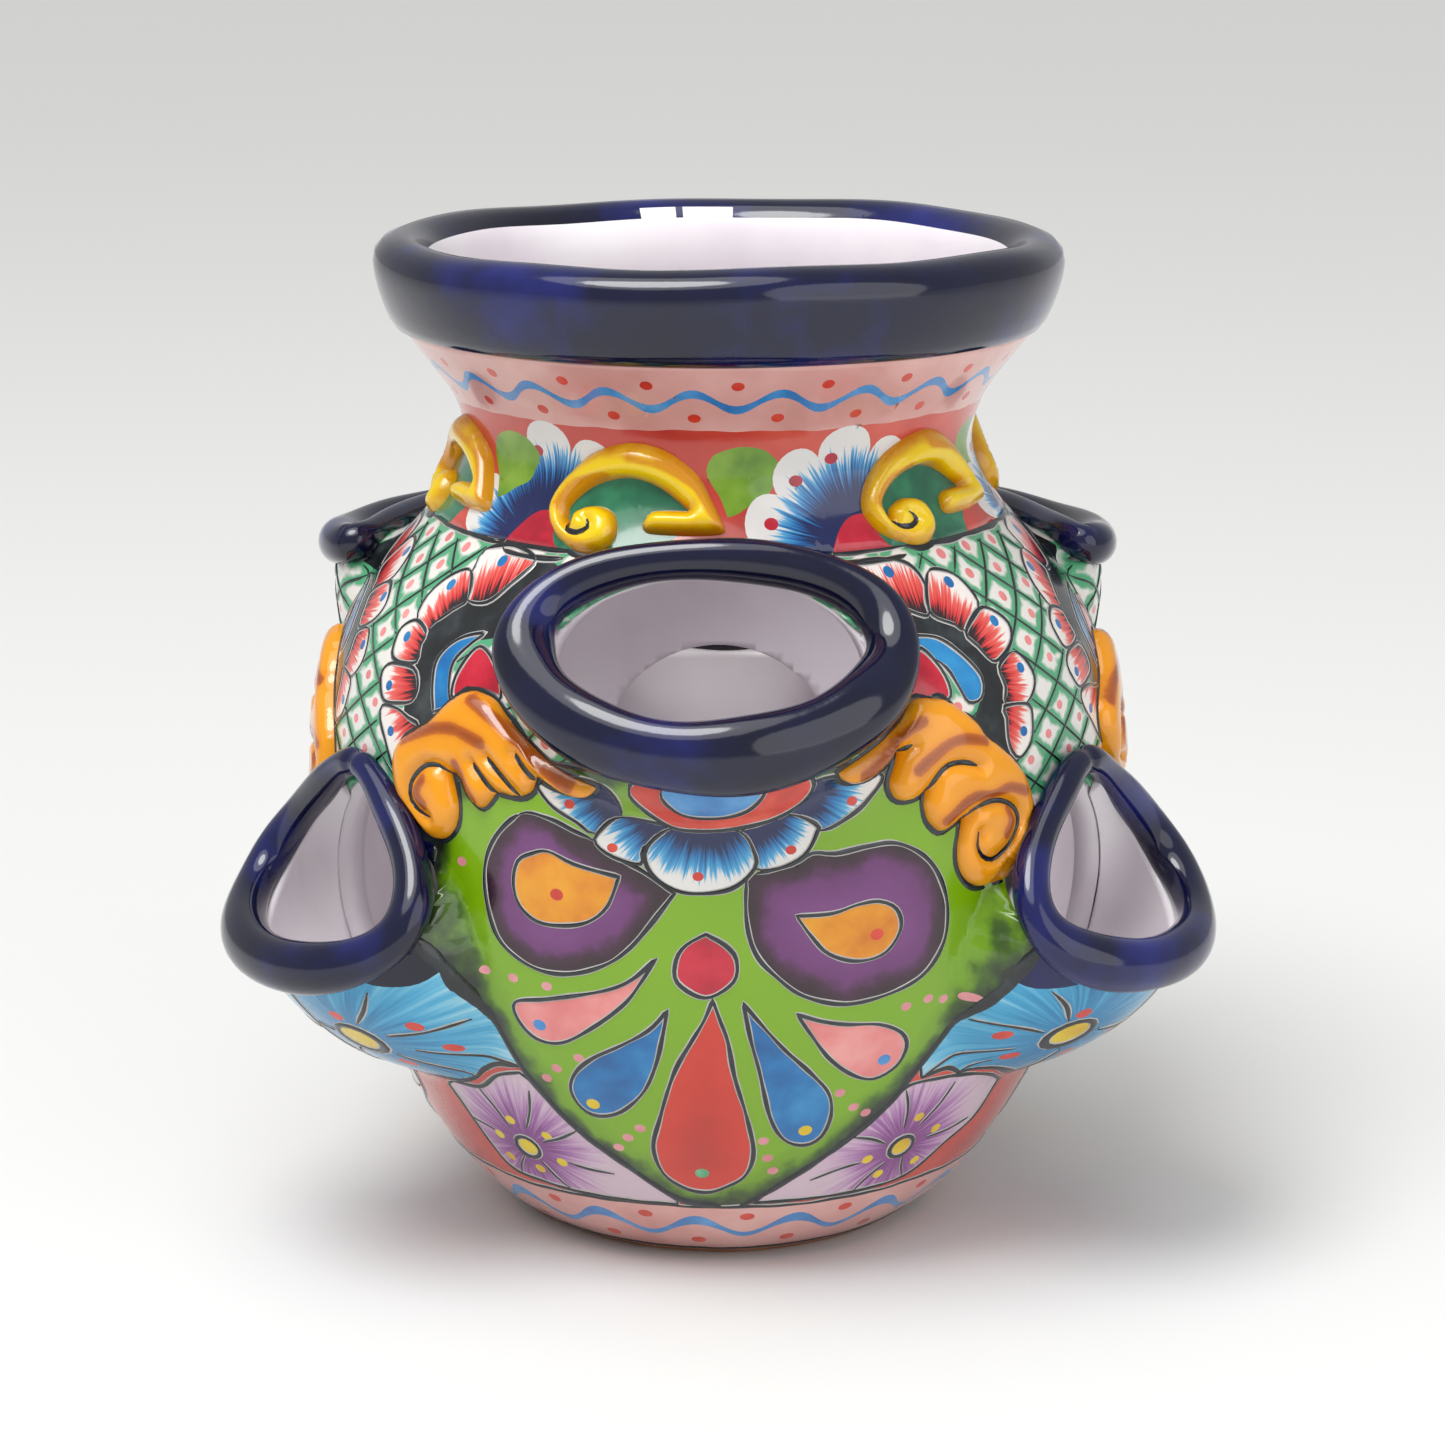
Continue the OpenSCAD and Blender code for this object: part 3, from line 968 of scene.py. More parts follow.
CURL_LEFT_GROOVES = [
    [(-38.8, 159.8), (-40.3, 161.5), (-42.3, 161), (-44.2, 158), (-45.3, 154), (-45, 150), (-43.4, 147.5),
     (-41.6, 146.3)],
    [(-31, 156.5), (-32.4, 160), (-34.5, 164.3)],
    [(-27.3, 156.6), (-29, 160.5), (-32.3, 166.5)],
    [(-25.2, 161.5), (-26, 163.6), (-28, 168.5)],
]
CURL_LEFT_BROWN = [
    [(-36, 181), (-31, 176), (-26, 170), (-19, 163.5)],
    [(-47.5, 166), (-43, 170.5), (-38, 172.5), (-33, 170)],
    [(-42.5, 157), (-43.4, 153), (-42, 150)],
    [(-34, 154), (-35.4, 158), (-37, 163)],
]
CURL_RIGHT = [
    (31.3, 183), (28.3, 183), (25.8, 177.8), (22.3, 174), (18, 170), (15.3, 167.3, 1), (16, 164.5), (17.7, 162.8),
    (20, 163), (22.2, 165), (24.4, 168), (25, 169.7, 1), (24.3, 165.3), (23.5, 161), (24.2, 156.8), (25.7, 155.4),
    (27.6, 156), (28.9, 157.7, 1), (28.6, 153.8), (29.2, 149), (31, 145.3), (32.5, 146), (34, 147.6),
    (34.7, 148, 1), (34.3, 143.8), (34, 139), (34.4, 133.3), (35.8, 129), (38, 126.4), (40.5, 127), (42.6, 129.7),
    (45, 134.5), (46.8, 141), (48, 146.7), (47.5, 151.3), (46.3, 157.3), (44, 163), (41.5, 167.5), (39.6, 170.7),
    (38.3, 174.7), (36, 178.7), (33.6, 182),
]
CURL_RIGHT_GROOVES = [
    [(28.9, 157.7), (30.2, 161.7), (32, 164.2), (34.5, 164.3), (37, 162.6)],
    [(34.7, 148), (36, 150.5), (38.2, 152), (40.6, 151.6), (42.8, 149), (43.8, 145), (42.9, 140), (41, 136.7),
     (39, 135), (37.3, 136.7), (36.6, 140), (36.9, 143.7)],
    [(25, 169.7), (27, 171)],
]
CURL_RIGHT_BROWN = [
    [(27, 164), (29.6, 167.3), (32.3, 170), (35, 170.5), (38.3, 169)],
    [(31.3, 149), (33.3, 152.3), (35.6, 154.5), (38.8, 154), (41.7, 155.2), (44.7, 153)],
    [(18.4, 166.7), (22.2, 171.3), (26.3, 175), (28.5, 177)],
    [(41.6, 148.5), (42, 145.5), (41, 142)],
]
SCROLL = [
    (1.5, 229), (-1, 236), (-4, 243), (-8, 248), (-13, 251.5), (-19, 252.3), (-26, 249.5), (-31, 245), (-35, 238),
    (-36.5, 231), (-34, 225), (-29, 221.5), (-25, 220.6), (-21.5, 222), (-20, 226), (-21.3, 231.5), (-25.5, 233.5),
    (-30, 231), (-30.8, 228, 1), (-31.8, 231.5), (-29.7, 235.5), (-25.6, 239.3), (-20, 241.3), (-15, 240.5),
    (-10.8, 237.8), (-6.2, 233.3, 1), (-10.2, 233.4), (-13.3, 232.8), (-14.8, 231), (-15.2, 229), (-14.2, 226.8),
    (-7.7, 226.3), (-0.7, 226.6), (1.7, 227.5),
]
SCROLL_GROOVES = [[(-30.8, 228), (-30, 225.5), (-27.5, 224.8), (-25.6, 226.5), (-26.4, 229)]]
SCROLL_BROWN = [
    [(0, 230), (-4, 239), (-10, 246), (-18, 249)],
    [(-24, 243), (-30, 239), (-33.5, 232)],
]


# What relief() models: the outline, its grooves, its brown strokes, how wide its edge is rolled, and the glaze
LEFT_CURL = (CURL_LEFT, CURL_LEFT_GROOVES, CURL_LEFT_BROWN, 6.5, "curl")
RIGHT_CURL = (CURL_RIGHT, CURL_RIGHT_GROOVES, CURL_RIGHT_BROWN, 6.5, "curl")
NECK_SCROLL = (SCROLL, SCROLL_GROOVES, SCROLL_BROWN, 5.5, "scroll")


def neck_picture():
    """The neck: a waved pink band over a red one with flowers, leaves and the scrolls' dark edges."""
    p = Painting(NECK_JOINT + 0.3, RIM_JOINT + 1.0)
    p.area("coral", between(wavy(NECK_JOINT - 3, 0), wavy(RIM_JOINT + 5, 0)), line=0)
    p.area("pale_pink", between(wavy(256.5, 0.6, 2.0), wavy(RIM_JOINT + 5, 0)), line=0)
    waved_band(p, 22, lambda a: (266 + 2.6 * np.cos(a), 1.0 + 0.35 * np.abs(np.cos(a))), 260.7, 271.0, 3.8, 2.8)
    p.line(wavy(256.5, 0.6, 2.0), 1.5)
    for turn in SCROLL_TURNS:
        shift = turn - SCROLL_DRAWN_AT
        focus = (turn - 20.5, 221.0)
        p.area("neck_petal", oval(turn - 20.5, 221, 34, 34, 24), line=0, brush=("fan", focus, 10.0, 36.0))
        for middle, spread, far in ((20, 40, 34), (58, 40, 35), (97, 43, 36), (133, 38, 37), (164, 34, 39)):
            p.area("neck_petal", petal(focus, middle, spread, 11, far), line=1.3, brush=("fan", focus, 10.0, far))
        for across, z in ((-25.9, 247), (-33.9, 241), (-39.9, 229.5)):
            p.area("crimson", oval(turn + across, z, 4.2, 3.4), line=0)
        dome = [(focus[0] - 7.2, 219), (focus[0] - 6.6, 224.5), (focus[0] - 3.5, 229.2), (focus[0], 230.6),
                (focus[0] + 3.5, 229.2), (focus[0] + 6.6, 224.5), (focus[0] + 7.2, 219)]
        p.area("crimson", drawn(dome), line=1.4)
        p.area("dark_green", drawn([
            (-34.5, 227), (-32, 236), (-25, 242), (-19, 243.5), (-12, 242), (-6.5, 236), (-5, 231), (-9, 225),
            (-13, 220), (-30, 220)]), line=0, turn=shift)
        p.area("leaf", drawn([
            (-2.4, 244.5), (-1, 249), (3, 251.3), (6.3, 251.7), (10.2, 250.2), (13.3, 245.5), (12.2, 241.8),
            (10.8, 237.8), (7.2, 235.2), (4.2, 232.5), (2, 231.5, 1), (0.5, 236.8), (-1.5, 241)]), turn=shift)
        p.line(drawn([(0.3, 238.3), (2.6, 243), (5.3, 246.7)], False), 0.9, halo=False, turn=shift)
        p.line(drawn(SCROLL), 3.0, halo=False, turn=shift, closed=True)
    return p


def flower_divisions(p, centre, ends, width, turn):
    """The bent lines from a flower's middle that part its petals."""
    for b, z in ends:
        start = (centre[0] + (b - centre[0]) * 0.34, centre[1] + (z - centre[1]) * 0.34)
        bend = ((start[0] + b) / 2 + (z - centre[1]) * 0.02, (start[1] + z) / 2 - (b - centre[0]) * 0.05)
        p.line(drawn([start, bend, (b, z)], False), width, turn=turn)


def belly_sector(p, shift):
    """A third of the belly: flowers, rosettes and the lime panel under one upper pocket."""

    def area(glaze, points, line=1.25, brush=None):
        p.area(glaze, drawn(points), line, brush, shift)

    def dots(glaze, wide, tall, *spots):
        for b, z in spots:
            p.area(glaze, oval(b, z, wide, tall), line=0, turn=shift)

    # Blue and lilac flowers low between the panels
    sky_left, sky_right = (-49.8, 78.0), (48.7, 80.0)
    left = [(-38, 124), (-35, 106), (-32.5, 89.6), (-30.5, 79.9), (-31.0, 71.3, 1), (-35.3, 70.7), (-38.5, 68),
            (-41.3, 63.6, 1), (-45, 60.6), (-49.1, 60.2), (-54.9, 59.9), (-57.1, 63.5, 1), (-59.6, 63), (-59.9, 80),
            (-59.8, 100), (-58, 118), (-48, 124)]
    right = [(33.3, 66.6, 1), (38.1, 68), (41.1, 65.2, 1), (44, 66), (46.2, 65.6), (50, 62.6), (53.2, 59.8, 1),
             (58, 60.4), (61.6, 64), (62.3, 80), (61.6, 100), (59, 118), (48, 124), (38, 118), (37, 100),
             (34, 89), (32, 77)]
    area("sky", left, 1.7, ("fan", sky_left, 5.0, 42.0))
    area("sky", right, 1.7, ("fan", sky_right, 5.0, 42.0))
    flower_divisions(p, sky_left, [(-36.2, 87), (-31.5, 71.6), (-41.3, 63.6), (-57.1, 63.5), (-59.8, 82),
                                   (-44, 97)], 1.2, shift)
    flower_divisions(p, sky_right, [(37.6, 86), (34, 67.5), (41.1, 65.2), (53.2, 59.8), (61.8, 78), (43, 97)], 1.2,
                     shift)
    dots("orange_red", 3.8, 3.4, (-50.1, 86.4), (-41.1, 85.5), (-39.5, 76.7), (-47.8, 68.7), (-56.5, 71),
         (48.1, 87.9), (57.5, 76), (53, 70.2), (44.6, 72), (41, 81.2))
    for middle in (sky_left, sky_right):
        p.area("yellow", oval(*middle, 11, 10), line=2.2, turn=shift)

    lilac_left, lilac_right = (-35.8, 40.7), (34.1, 41.5)
    area("lilac", [(-48, 58.8), (-41.5, 60.1), (-36.6, 66.2), (-31.8, 69.2, 1), (-29.3, 65.3), (-23.9, 52),
                   (-17.1, 41.1), (-7.8, 28), (-7.9, 25.6, 1), (-25.3, 25.9), (-35.3, 27.3), (-43.3, 29.2),
                   (-46, 37.5), (-48.6, 50.5), (-50.3, 56.6, 1)], 1.4, ("fan", lilac_left, 4.0, 30.0))
    area("lilac", [(28.3, 58.6), (31.2, 64.6), (37.6, 64.8), (41.3, 64.1), (47.1, 62.2), (53.6, 56.7, 1),
                   (51.9, 44.7), (46, 37.5), (39.8, 28.7), (28.3, 26.6), (6.9, 26.3, 1), (12, 34), (20, 44.5),
                   (25, 52)], 1.4, ("fan", lilac_right, 4.0, 30.0))
    flower_divisions(p, lilac_left, [(-47.5, 46), (-42, 59), (-31, 63), (-24, 51), (-19, 36), (-30, 27),
                                     (-41, 29)], 1.1, shift)
    flower_divisions(p, lilac_right, [(49.5, 45), (41, 62), (31, 63), (23, 49), (17, 34), (27, 27), (38, 29)], 1.1,
                     shift)
    dots("yellow", 3.6, 3.1, (-41.8, 42.7), (-37.3, 50), (-30.4, 46.8), (-29.3, 37.2), (-35.2, 32.6), (-41.9, 34.4),
         (35.7, 51.6), (41.1, 45.1), (39.6, 33.8), (31.4, 32), (27.5, 39.1))
    for middle in (lilac_left, lilac_right):
        p.area("yellow", oval(*middle, 8.5, 7.5), line=1.6, turn=shift)

    # Rosettes either side of the upper pocket
    rose_left, rose_right = (-37.5, 187.0), (32.5, 188.0)
    area("black", [(-35.5, 218.5), (-41, 210), (-45.5, 208.5), (-50, 200), (-53, 193), (-52.5, 187), (-51, 178),
                   (-50.3, 172), (-48.5, 163), (-45, 163), (-42, 173), (-44.5, 183), (-44.5, 190), (-42, 195),
                   (-36, 198), (-30, 204), (-27, 214)], 0)
    area("black", [(25, 216), (31, 210.5), (36, 205), (41, 201.5), (44, 194), (47, 187), (47, 178), (46.5, 166),
                   (43, 164), (38.5, 173), (40.5, 181), (40.5, 187), (37, 194), (31, 199), (26, 203)], 0)
    petals = [
        (rose_left, [(-48.7, 218), (-44, 220.3), (-39, 219.8), (-35.5, 218), (-35.5, 216.5), (-38, 211.5),
                     (-41, 206), (-45.5, 205.5), (-48, 209.5), (-48.5, 214)], (-42.9, 216.3)),
        (rose_left, [(-49, 212.5), (-53, 210.5), (-55.5, 206), (-56, 202), (-55, 198), (-51.5, 195.5), (-50, 198.5),
                     (-47.5, 202.5), (-45.5, 206)], (-51.7, 208.1)),
        (rose_left, [(-55, 197.5), (-58, 194.5), (-58, 189.5), (-57, 186.5), (-54, 186), (-50.5, 187.5), (-51, 192),
                     (-51, 195.3)], (-55.5, 192.8)),
        (rose_left, [(-56.5, 185), (-58.5, 182), (-57.8, 178), (-56, 174.5), (-52.5, 175), (-49, 177),
                     (-48.6, 181.5), (-50.7, 185.5)], (-55.6, 178.9)),
        (rose_left, [(-56, 173), (-56, 169), (-53.5, 163), (-51, 157), (-50.2, 159.5), (-49.5, 165), (-46.7, 170.5),
                     (-49.3, 172), (-52, 173.5)], (-52.9, 166.7)),
        (rose_right, [(23.5, 217), (27.5, 218.7), (33, 218.5), (36.8, 216.5), (38, 212.5), (37, 207.8),
                      (35.5, 203.6), (31, 207), (28, 211.5), (26, 215.5)], (31.9, 215.4)),
        (rose_right, [(40, 214), (43.3, 214), (46, 211.5), (47.3, 206.5), (46.3, 203), (41.5, 198.5), (40, 200.4),
                      (36.5, 203.5), (37, 208)], (43.4, 210.8)),
        (rose_right, [(46.5, 203), (49.3, 202), (51.5, 198), (50.5, 193.5), (47, 190), (44.6, 189.5), (42.8, 194),
                      (41.5, 198)], (48.6, 199.3)),
        (rose_right, [(49.5, 190.5), (51.8, 188), (52.8, 182.5), (51.2, 177.8), (48, 175.5), (45, 177.5),
                      (45.8, 181.8), (45.6, 187.5)], (50.3, 185.9)),
        (rose_right, [(50, 175.5), (50.3, 170.5), (49.3, 165), (46.5, 161.5), (45, 163.8), (44.5, 168), (44.8, 173.5),
                      (44.7, 176.8)], (48.1, 168.5)),
    ]
    for focus, outline, spot in petals:
        area("rosette", outline, 1.2, reach_of(focus, outline))
        dots("blue", 3.4, 3.0, spot)
    area("blue", [(-38.5, 198.5), (-43, 196), (-46, 190), (-45.5, 183), (-44, 175.5, 1), (-41.2, 178.5), (-42, 183),
                  (-42.5, 190), (-40, 196)], 1.1)
    area("blue", [(30.5, 199), (35.5, 198), (39, 193), (41.5, 186), (40.5, 180.5), (38, 180), (36.8, 184.5),
                  (35.5, 190), (32.5, 195)], 1.1)
    area("crimson", [(-38.5, 195), (-41, 188), (-41, 181), (-38, 179.5), (-32.5, 181.5), (-34, 190)], 1.1)
    area("crimson", [(31.5, 196), (34.5, 190), (35, 182.5), (31.5, 181), (27, 180.5), (27.5, 187)], 1.1)

    # The lime panel and what is drawn on it
    panel = [(-41.8, 137.6), (-40.4, 125), (-38.6, 113), (-36.9, 104), (-35, 90.5), (-32, 74.9), (-29.3, 65.3),
             (-23.9, 52), (-17.1, 41.1), (-7.8, 28), (-1, 25.5, 1), (5.2, 25.8), (16.8, 40.1), (23.6, 51.1), (28.6, 59.6),
             (33, 72.6), (36.6, 84.4), (38.8, 97.4), (40.6, 109), (42.2, 121), (43.5, 130), (38, 157),
             (24, 167), (10, 171), (-1.5, 172), (-16, 169), (-28, 166), (-38, 158), (-42, 148)]
    # Near-black cobalt patches darken the fold between the panel and each lower lip
    area("cobalt", [(-47.5, 139), (-38, 139), (-36, 127), (-36, 112), (-37.4, 103), (-40.5, 99.5), (-45, 102),
                    (-49, 118)], 0)
    area("cobalt", [(49.5, 132), (40, 130), (38, 118), (38, 106), (39.6, 100), (42.5, 98), (47, 101), (51, 116)], 0)
    area("lime", panel, 0, ("edge", 13.0))
    p.line(drawn(panel), 2.4, halo=False, turn=shift, closed=True)
    area("purple", [(-27.4, 151.4), (-31.8, 142), (-33.2, 129.9), (-31.9, 114.9), (-28.2, 107.4), (-23.1, 104.6),
                    (-17.2, 107.3), (-11.9, 114.7), (-5.7, 131.8, 1), (-7.6, 134.5), (-10.6, 138.7), (-14, 141.6),
                    (-16.7, 146), (-19.5, 148.3), (-23.2, 151.2)], 1.4, ("edge", 17.0))
    area("amber", [(-27.8, 137.4), (-28.5, 130.5), (-27.6, 124.1), (-25.1, 120.1), (-21.3, 119.8), (-17.6, 121.8),
                   (-14.8, 127), (-13.2, 135.9, 1), (-19.5, 138.6), (-23.1, 141.5), (-25.6, 140.3)], 1.2)
    area("purple", [(3.9, 136.8), (3.8, 123.9), (5.1, 113.6), (7.9, 106.5), (11.9, 99.8), (18.1, 96), (24.8, 97.8),
                    (29.9, 102.4), (32.7, 111.1), (32.9, 121.5), (31.5, 131.2), (28.8, 138.7), (24.5, 143.6),
                    (20.4, 143.7), (15.7, 142.4), (12.6, 143), (9.9, 140), (5.1, 137.6)], 1.4, ("edge", 17.0))
    area("amber", [(10.5, 124.7, 1), (12.7, 118), (15.2, 112.4), (19.3, 109.4), (23.4, 111), (25.5, 117.8),
                   (24.7, 124), (22.1, 127), (18.9, 126.7), (15.4, 124.8)], 1.2)
    area("salmon", [(-29.8, 93.5), (-24.4, 96.2), (-15.8, 100.9), (-11.7, 105.2), (-8.3, 112.1, 1), (-10.5, 104.4),
                    (-13.1, 97), (-17.9, 88.7), (-23.1, 82.3), (-27.2, 82.4), (-29.6, 87.2)], 1.3)
    area("salmon", [(11.1, 94.1, 1), (14.6, 91.3), (18.4, 89.4), (23.7, 88), (27.6, 84.1), (29, 78.9), (27.9, 72.6),
                    (24.4, 69.4), (20.5, 72), (16.4, 78.7), (13.1, 87.8)], 1.3)
    area("blue", [(-7, 95.9, 1), (-9.7, 89.3), (-14, 83.5), (-18.6, 78.2), (-21.7, 72.6), (-23.1, 66.3),
                  (-21.9, 60.2), (-19.3, 57.9), (-15.3, 60.3), (-11.3, 68), (-9, 78.1), (-7.7, 88.6)], 1.3)
    area("blue", [(3.5, 98.4, 1), (5.7, 92.4), (9.6, 82.7), (14.2, 73.4), (17.3, 65.9), (18.2, 57.7), (17.2, 50.7),
                  (14.5, 48.1), (10.9, 50.8), (8.2, 59.4), (6, 76.4), (4.6, 86.9)], 1.3)
    area("red_drop", [(-0.7, 99.6, 1), (-1.9, 93), (-3.7, 86.1), (-6.4, 75.4), (-9.1, 59.3), (-10.8, 47.7),
                      (-9.7, 38), (-6.4, 32.8), (-2.3, 30.9), (1.3, 33), (4.8, 37.4), (6, 46.1), (4.5, 59.8),
                      (2.5, 73.7), (1.4, 86.1), (0.3, 93)], 1.4, ("edge", 20.0))
    area("crimson", [(-1.6, 119.8, 1), (-4.2, 116.5), (-5.6, 111.9), (-5.5, 104.9), (-1.7, 100.2), (2.1, 105.1),
                     (2.5, 112), (1, 116.5)], 1.4)
    dots("orange_red", 4.2, 3.6, (-22, 129), (22, 117))
    dots("wave_blue", 4.2, 3.6, (-26.3, 87.2), (25.6, 75.5))
    dots("yellow", 4.2, 3.6, (-19.8, 62), (14.3, 53.5))
    dots("green", 4.2, 3.6, (-2.8, 38.5))
    dots("pink_dot", 3.4, 2.8, (-37, 134.4), (-34.2, 102.2), (-29.7, 101.2), (-24.4, 100.2), (-20.8, 77.7),
         (-24.8, 73.1), (-26.9, 69.1), (-12.6, 54.7), (-14.9, 50.9), (-16.9, 46.8), (37.6, 134.2), (27.7, 92.6),
         (31.3, 93.9), (34, 92.8), (37, 93.3), (19.1, 65.9), (21.9, 60.2), (24.3, 57.5), (7.5, 50.5), (8.5, 44),
         (9.7, 38.9))

    # Petals under the upper pocket
    for low_focus, outline in zip(((-8.5, 167.0), (4.5, 168.0), (-5, 158), (3, 159), (-1.5, 162)), (
        [(-14.9, 164.6), (-24.6, 162.1), (-23.2, 155.6), (-19.1, 150.8), (-16.5, 148.1), (-12.7, 153.4)],
        [(8.4, 153.1), (10.4, 157.7), (12, 165.8), (22.3, 164.2), (20.5, 157), (17.2, 152), (13.4, 149.3)],
        [(-12.7, 153.4), (-16.1, 148.1), (-16.3, 144.9), (-14, 141.6), (-10.2, 140), (-9.8, 144.9), (-6.1, 150.9)],
        [(3, 149.8), (4.7, 144.5), (4.9, 139.2), (8, 139), (11.4, 142.3), (13.2, 148.6), (13, 151.4), (8.4, 155)],
        [(-6.1, 150.9), (-9.4, 144.9), (-9.4, 139.3), (-7.2, 134.5), (-3.8, 131.9), (1.7, 133.2), (4.9, 139.2),
         (4.7, 144.5), (3, 149.8), (-1.5, 152)],
    )):
        area("low_petal", outline, 1.3, reach_of(low_focus, outline))
    dots("orange_red", 3.2, 2.7, (-2.6, 136.8), (9.7, 144.2), (18.2, 157), (-14.1, 144.2), (-20.2, 155.7))
    area("orange_red", [(-10.9, 163.6), (-9.5, 157), (-6.1, 151.3), (-2.4, 150.2), (2.5, 151), (7.7, 153.9),
                        (11.1, 159.2), (11.9, 165.8), (8, 172), (-7, 172)], 1.4)
    area("wave_blue", [(-6.9, 163.5), (-5.3, 157.3), (-2.7, 155), (1.4, 155.4), (4.3, 158.5), (5.7, 165.5), (2, 172),
                       (-4, 172)], 1.2)
    for curl in (CURL_LEFT, CURL_RIGHT):
        p.line(drawn(curl), 3.0, halo=False, turn=shift, closed=True)


def belly_picture():
    """The belly: three painted sectors over the lattice, and a waved band round the foot."""
    p = Painting(2.4, NECK_JOINT + 0.5)
    p.area("coral", between(wavy(-3, 0), wavy(NECK_JOINT + 5, 0)), line=0)
    p.area("lattice", between(wavy(112, 1.0, 1.0), wavy(NECK_JOINT + 5, 0)), line=0, brush=("cells",))
    for shift in SHIFTS:
        belly_sector(p, shift)
    # Bottom band
    p.area("pale_pink", between(wavy(-3, 0), wavy(24.8, 0.5, 3.0)), line=0)
    waved_band(
        p, 17, lambda a: (15.2 + 3.4 * np.cos(a), 1.1 + 0.9 * np.maximum(np.cos(a), 0)), 8.8, 20.2, 4.6, 3.1
    )
    p.area("royal", between(wavy(-3, 0), wavy(3.6, 0.4, 5.0)), line=0)
    p.line(wavy(24.8, 0.5, 3.0), 1.4)
    p.line(wavy(3.6, 0.4, 5.0), 1.0, halo=False)
    # The lattice's dots and thin lines fill what the other motifs leave bare
    busy = [copy for glaze, shape, _ in p.areas if glaze not in ("coral", "lattice") for copy in shifted(shape)]
    busy += [copy for hole in mouth_cuts(4.0) for copy in shifted(hole)]
    cells = 360 // LATTICE_WIDE
    for sign in (1, -1):
        for k in range(cells):
            z = np.arange(118, NECK_JOINT - 1.5, 1.2)
            b = wrapped(
                k * LATTICE_WIDE + LATTICE_WIDE / 2 + sign * (z - LATTICE_TOP) * LATTICE_WIDE / LATTICE_TALL
            )
            line = np.stack([b, z], -1)
            bare = np.ones(len(line), bool)
            for shape in busy:
                bare &= ~inside(line, shape)
            # A run of bare points ends at a covered one, and before a jump over the seam at the back
            ends = np.nonzero(np.diff(bare.astype(int)) | (np.abs(np.diff(b)) > 180))[0] + 1
            for run in np.split(np.arange(len(line)), ends):
                if bare[run[0]] and len(run) > 2:
                    p.line(line[run], 0.75, halo=False)
    for j in range(16):
        for i in range(cells):
            b = (i + 0.5 * (j % 2)) * LATTICE_WIDE - 180 + 0.6 * math.sin(i * 2.1 + j)
            z = LATTICE_TOP - j * LATTICE_TALL / 2 + 0.5 * math.sin(3 * i + j)
            ring = oval(b, z, 7, 6, 6)
            if all(not inside(ring, shape).any() for shape in busy):
                p.area("salmon", oval(b, z, 3.4, 2.8, 10), line=0)
    p.line(wavy(NECK_JOINT, 0.6, 4.0), 2.0)
    return p


def mouth_cuts(grow=0.0):
    """Where each pocket's mouth is left open in the painted skin, as bearings and heights."""
    cuts = []
    a = np.linspace(0, 360, 121)[:-1]
    for p in POCKETS:
        outer, outer_top, _, _, bulge = cup_edges(p, a)
        tall = np.linalg.norm(outer_top - outer, axis=-1)
        sheet = along_face(outer, outer_top, bulge, (1 + 0.8 / tall)[:, None])[:, 0]
        across, z = hole_point(p, a)
        edge = on_wall(p.bearing, across * 1.01, z + 0.8 * np.cos(a * DEGREE))
        low = np.minimum(a, 360 - a)
        w = np.clip((low - p.start + 6) / 14, 0, 1)
        w = (w * w * (3 - 2 * w))[:, None]
        points = sheet * w + edge * (1 - w)
        shape = np.stack([wrapped(bearing_of(points) - p.bearing) + p.bearing, points[:, 2]], -1)
        if grow:
            middle = shape.mean(0)
            scale = np.array([mm_per_degree(middle[1]), 1.0])
            shape = shape + unit((shape - middle) * scale) * grow / scale
        cuts.append(shape)
    return cuts


# ---------------------------------------------------------------------------------------------
# Clay pieces
# ---------------------------------------------------------------------------------------------


def follow_wall(piece):
    """Gives a thrown ring, but not its drain hole, the same hand wave as the painted skin."""
    points = vertices_of(piece)
    radius = np.hypot(points[:, 0], points[:, 1])
    moved = radius + np.where(radius > 20, hand_wave(bearing_of(points), points[:, 2]), 0)
    points[:, :2] *= (moved / radius)[:, None]
    set_vertices(piece, points)


def wall_points(heights, inset):
    return [(float(r) - inset, float(h)) for r, h in zip(pot_radius(heights), heights)]


def closed_sheet(name, faces, outer, inner, glazes, slots=None, brush=None):
    """Two matched sheets joined along every open edge."""
    n = len(outer)
    edges = {}
    for face in faces:
        for a, b in zip(face, np.roll(face, -1)):
            edges[(a, b)] = edges.get((a, b), 0) + 1
    rims = [(a, b) for (a, b) in edges if (b, a) not in edges]
    everything = list(map(tuple, faces)) + [tuple(f[::-1] + n) for f in faces]
    everything += [(b, a, a + n, b + n) for a, b in rims]
    slots = np.zeros(len(faces), int) if slots is None else slots
    all_slots = np.concatenate([slots, np.zeros(len(faces) + len(rims), int)])
    all_brush = None
    if brush is not None:
        rest = np.full(((len(faces) * 3 + len(rims) * 4), 2), 0.5)
        all_brush = np.concatenate([brush.reshape(-1, 2), rest])
    return make_piece(name, np.concatenate([outer, inner]), everything, glazes, all_slots, all_brush)


def join_seam(flat, faces):
    """Makes the sheet's two edges at the back one line of points."""
    left = np.nonzero(np.abs(flat[:, 0] + 180) < 1e-4)[0]
    right = np.nonzero(np.abs(flat[:, 0] - 180) < 1e-4)[0]
    order_left, order_right = left[np.argsort(flat[left, 1])], right[np.argsort(flat[right, 1])]
    target = np.arange(len(flat))
    for r in order_right:
        k = order_left[np.argmin(np.abs(flat[order_left, 1] - flat[r, 1]))]
        if abs(flat[k, 1] - flat[r, 1]) < 0.02:
            target[r] = k
    faces = target[faces]
    return faces[(faces != np.roll(faces, 1, 1)).all(1)]


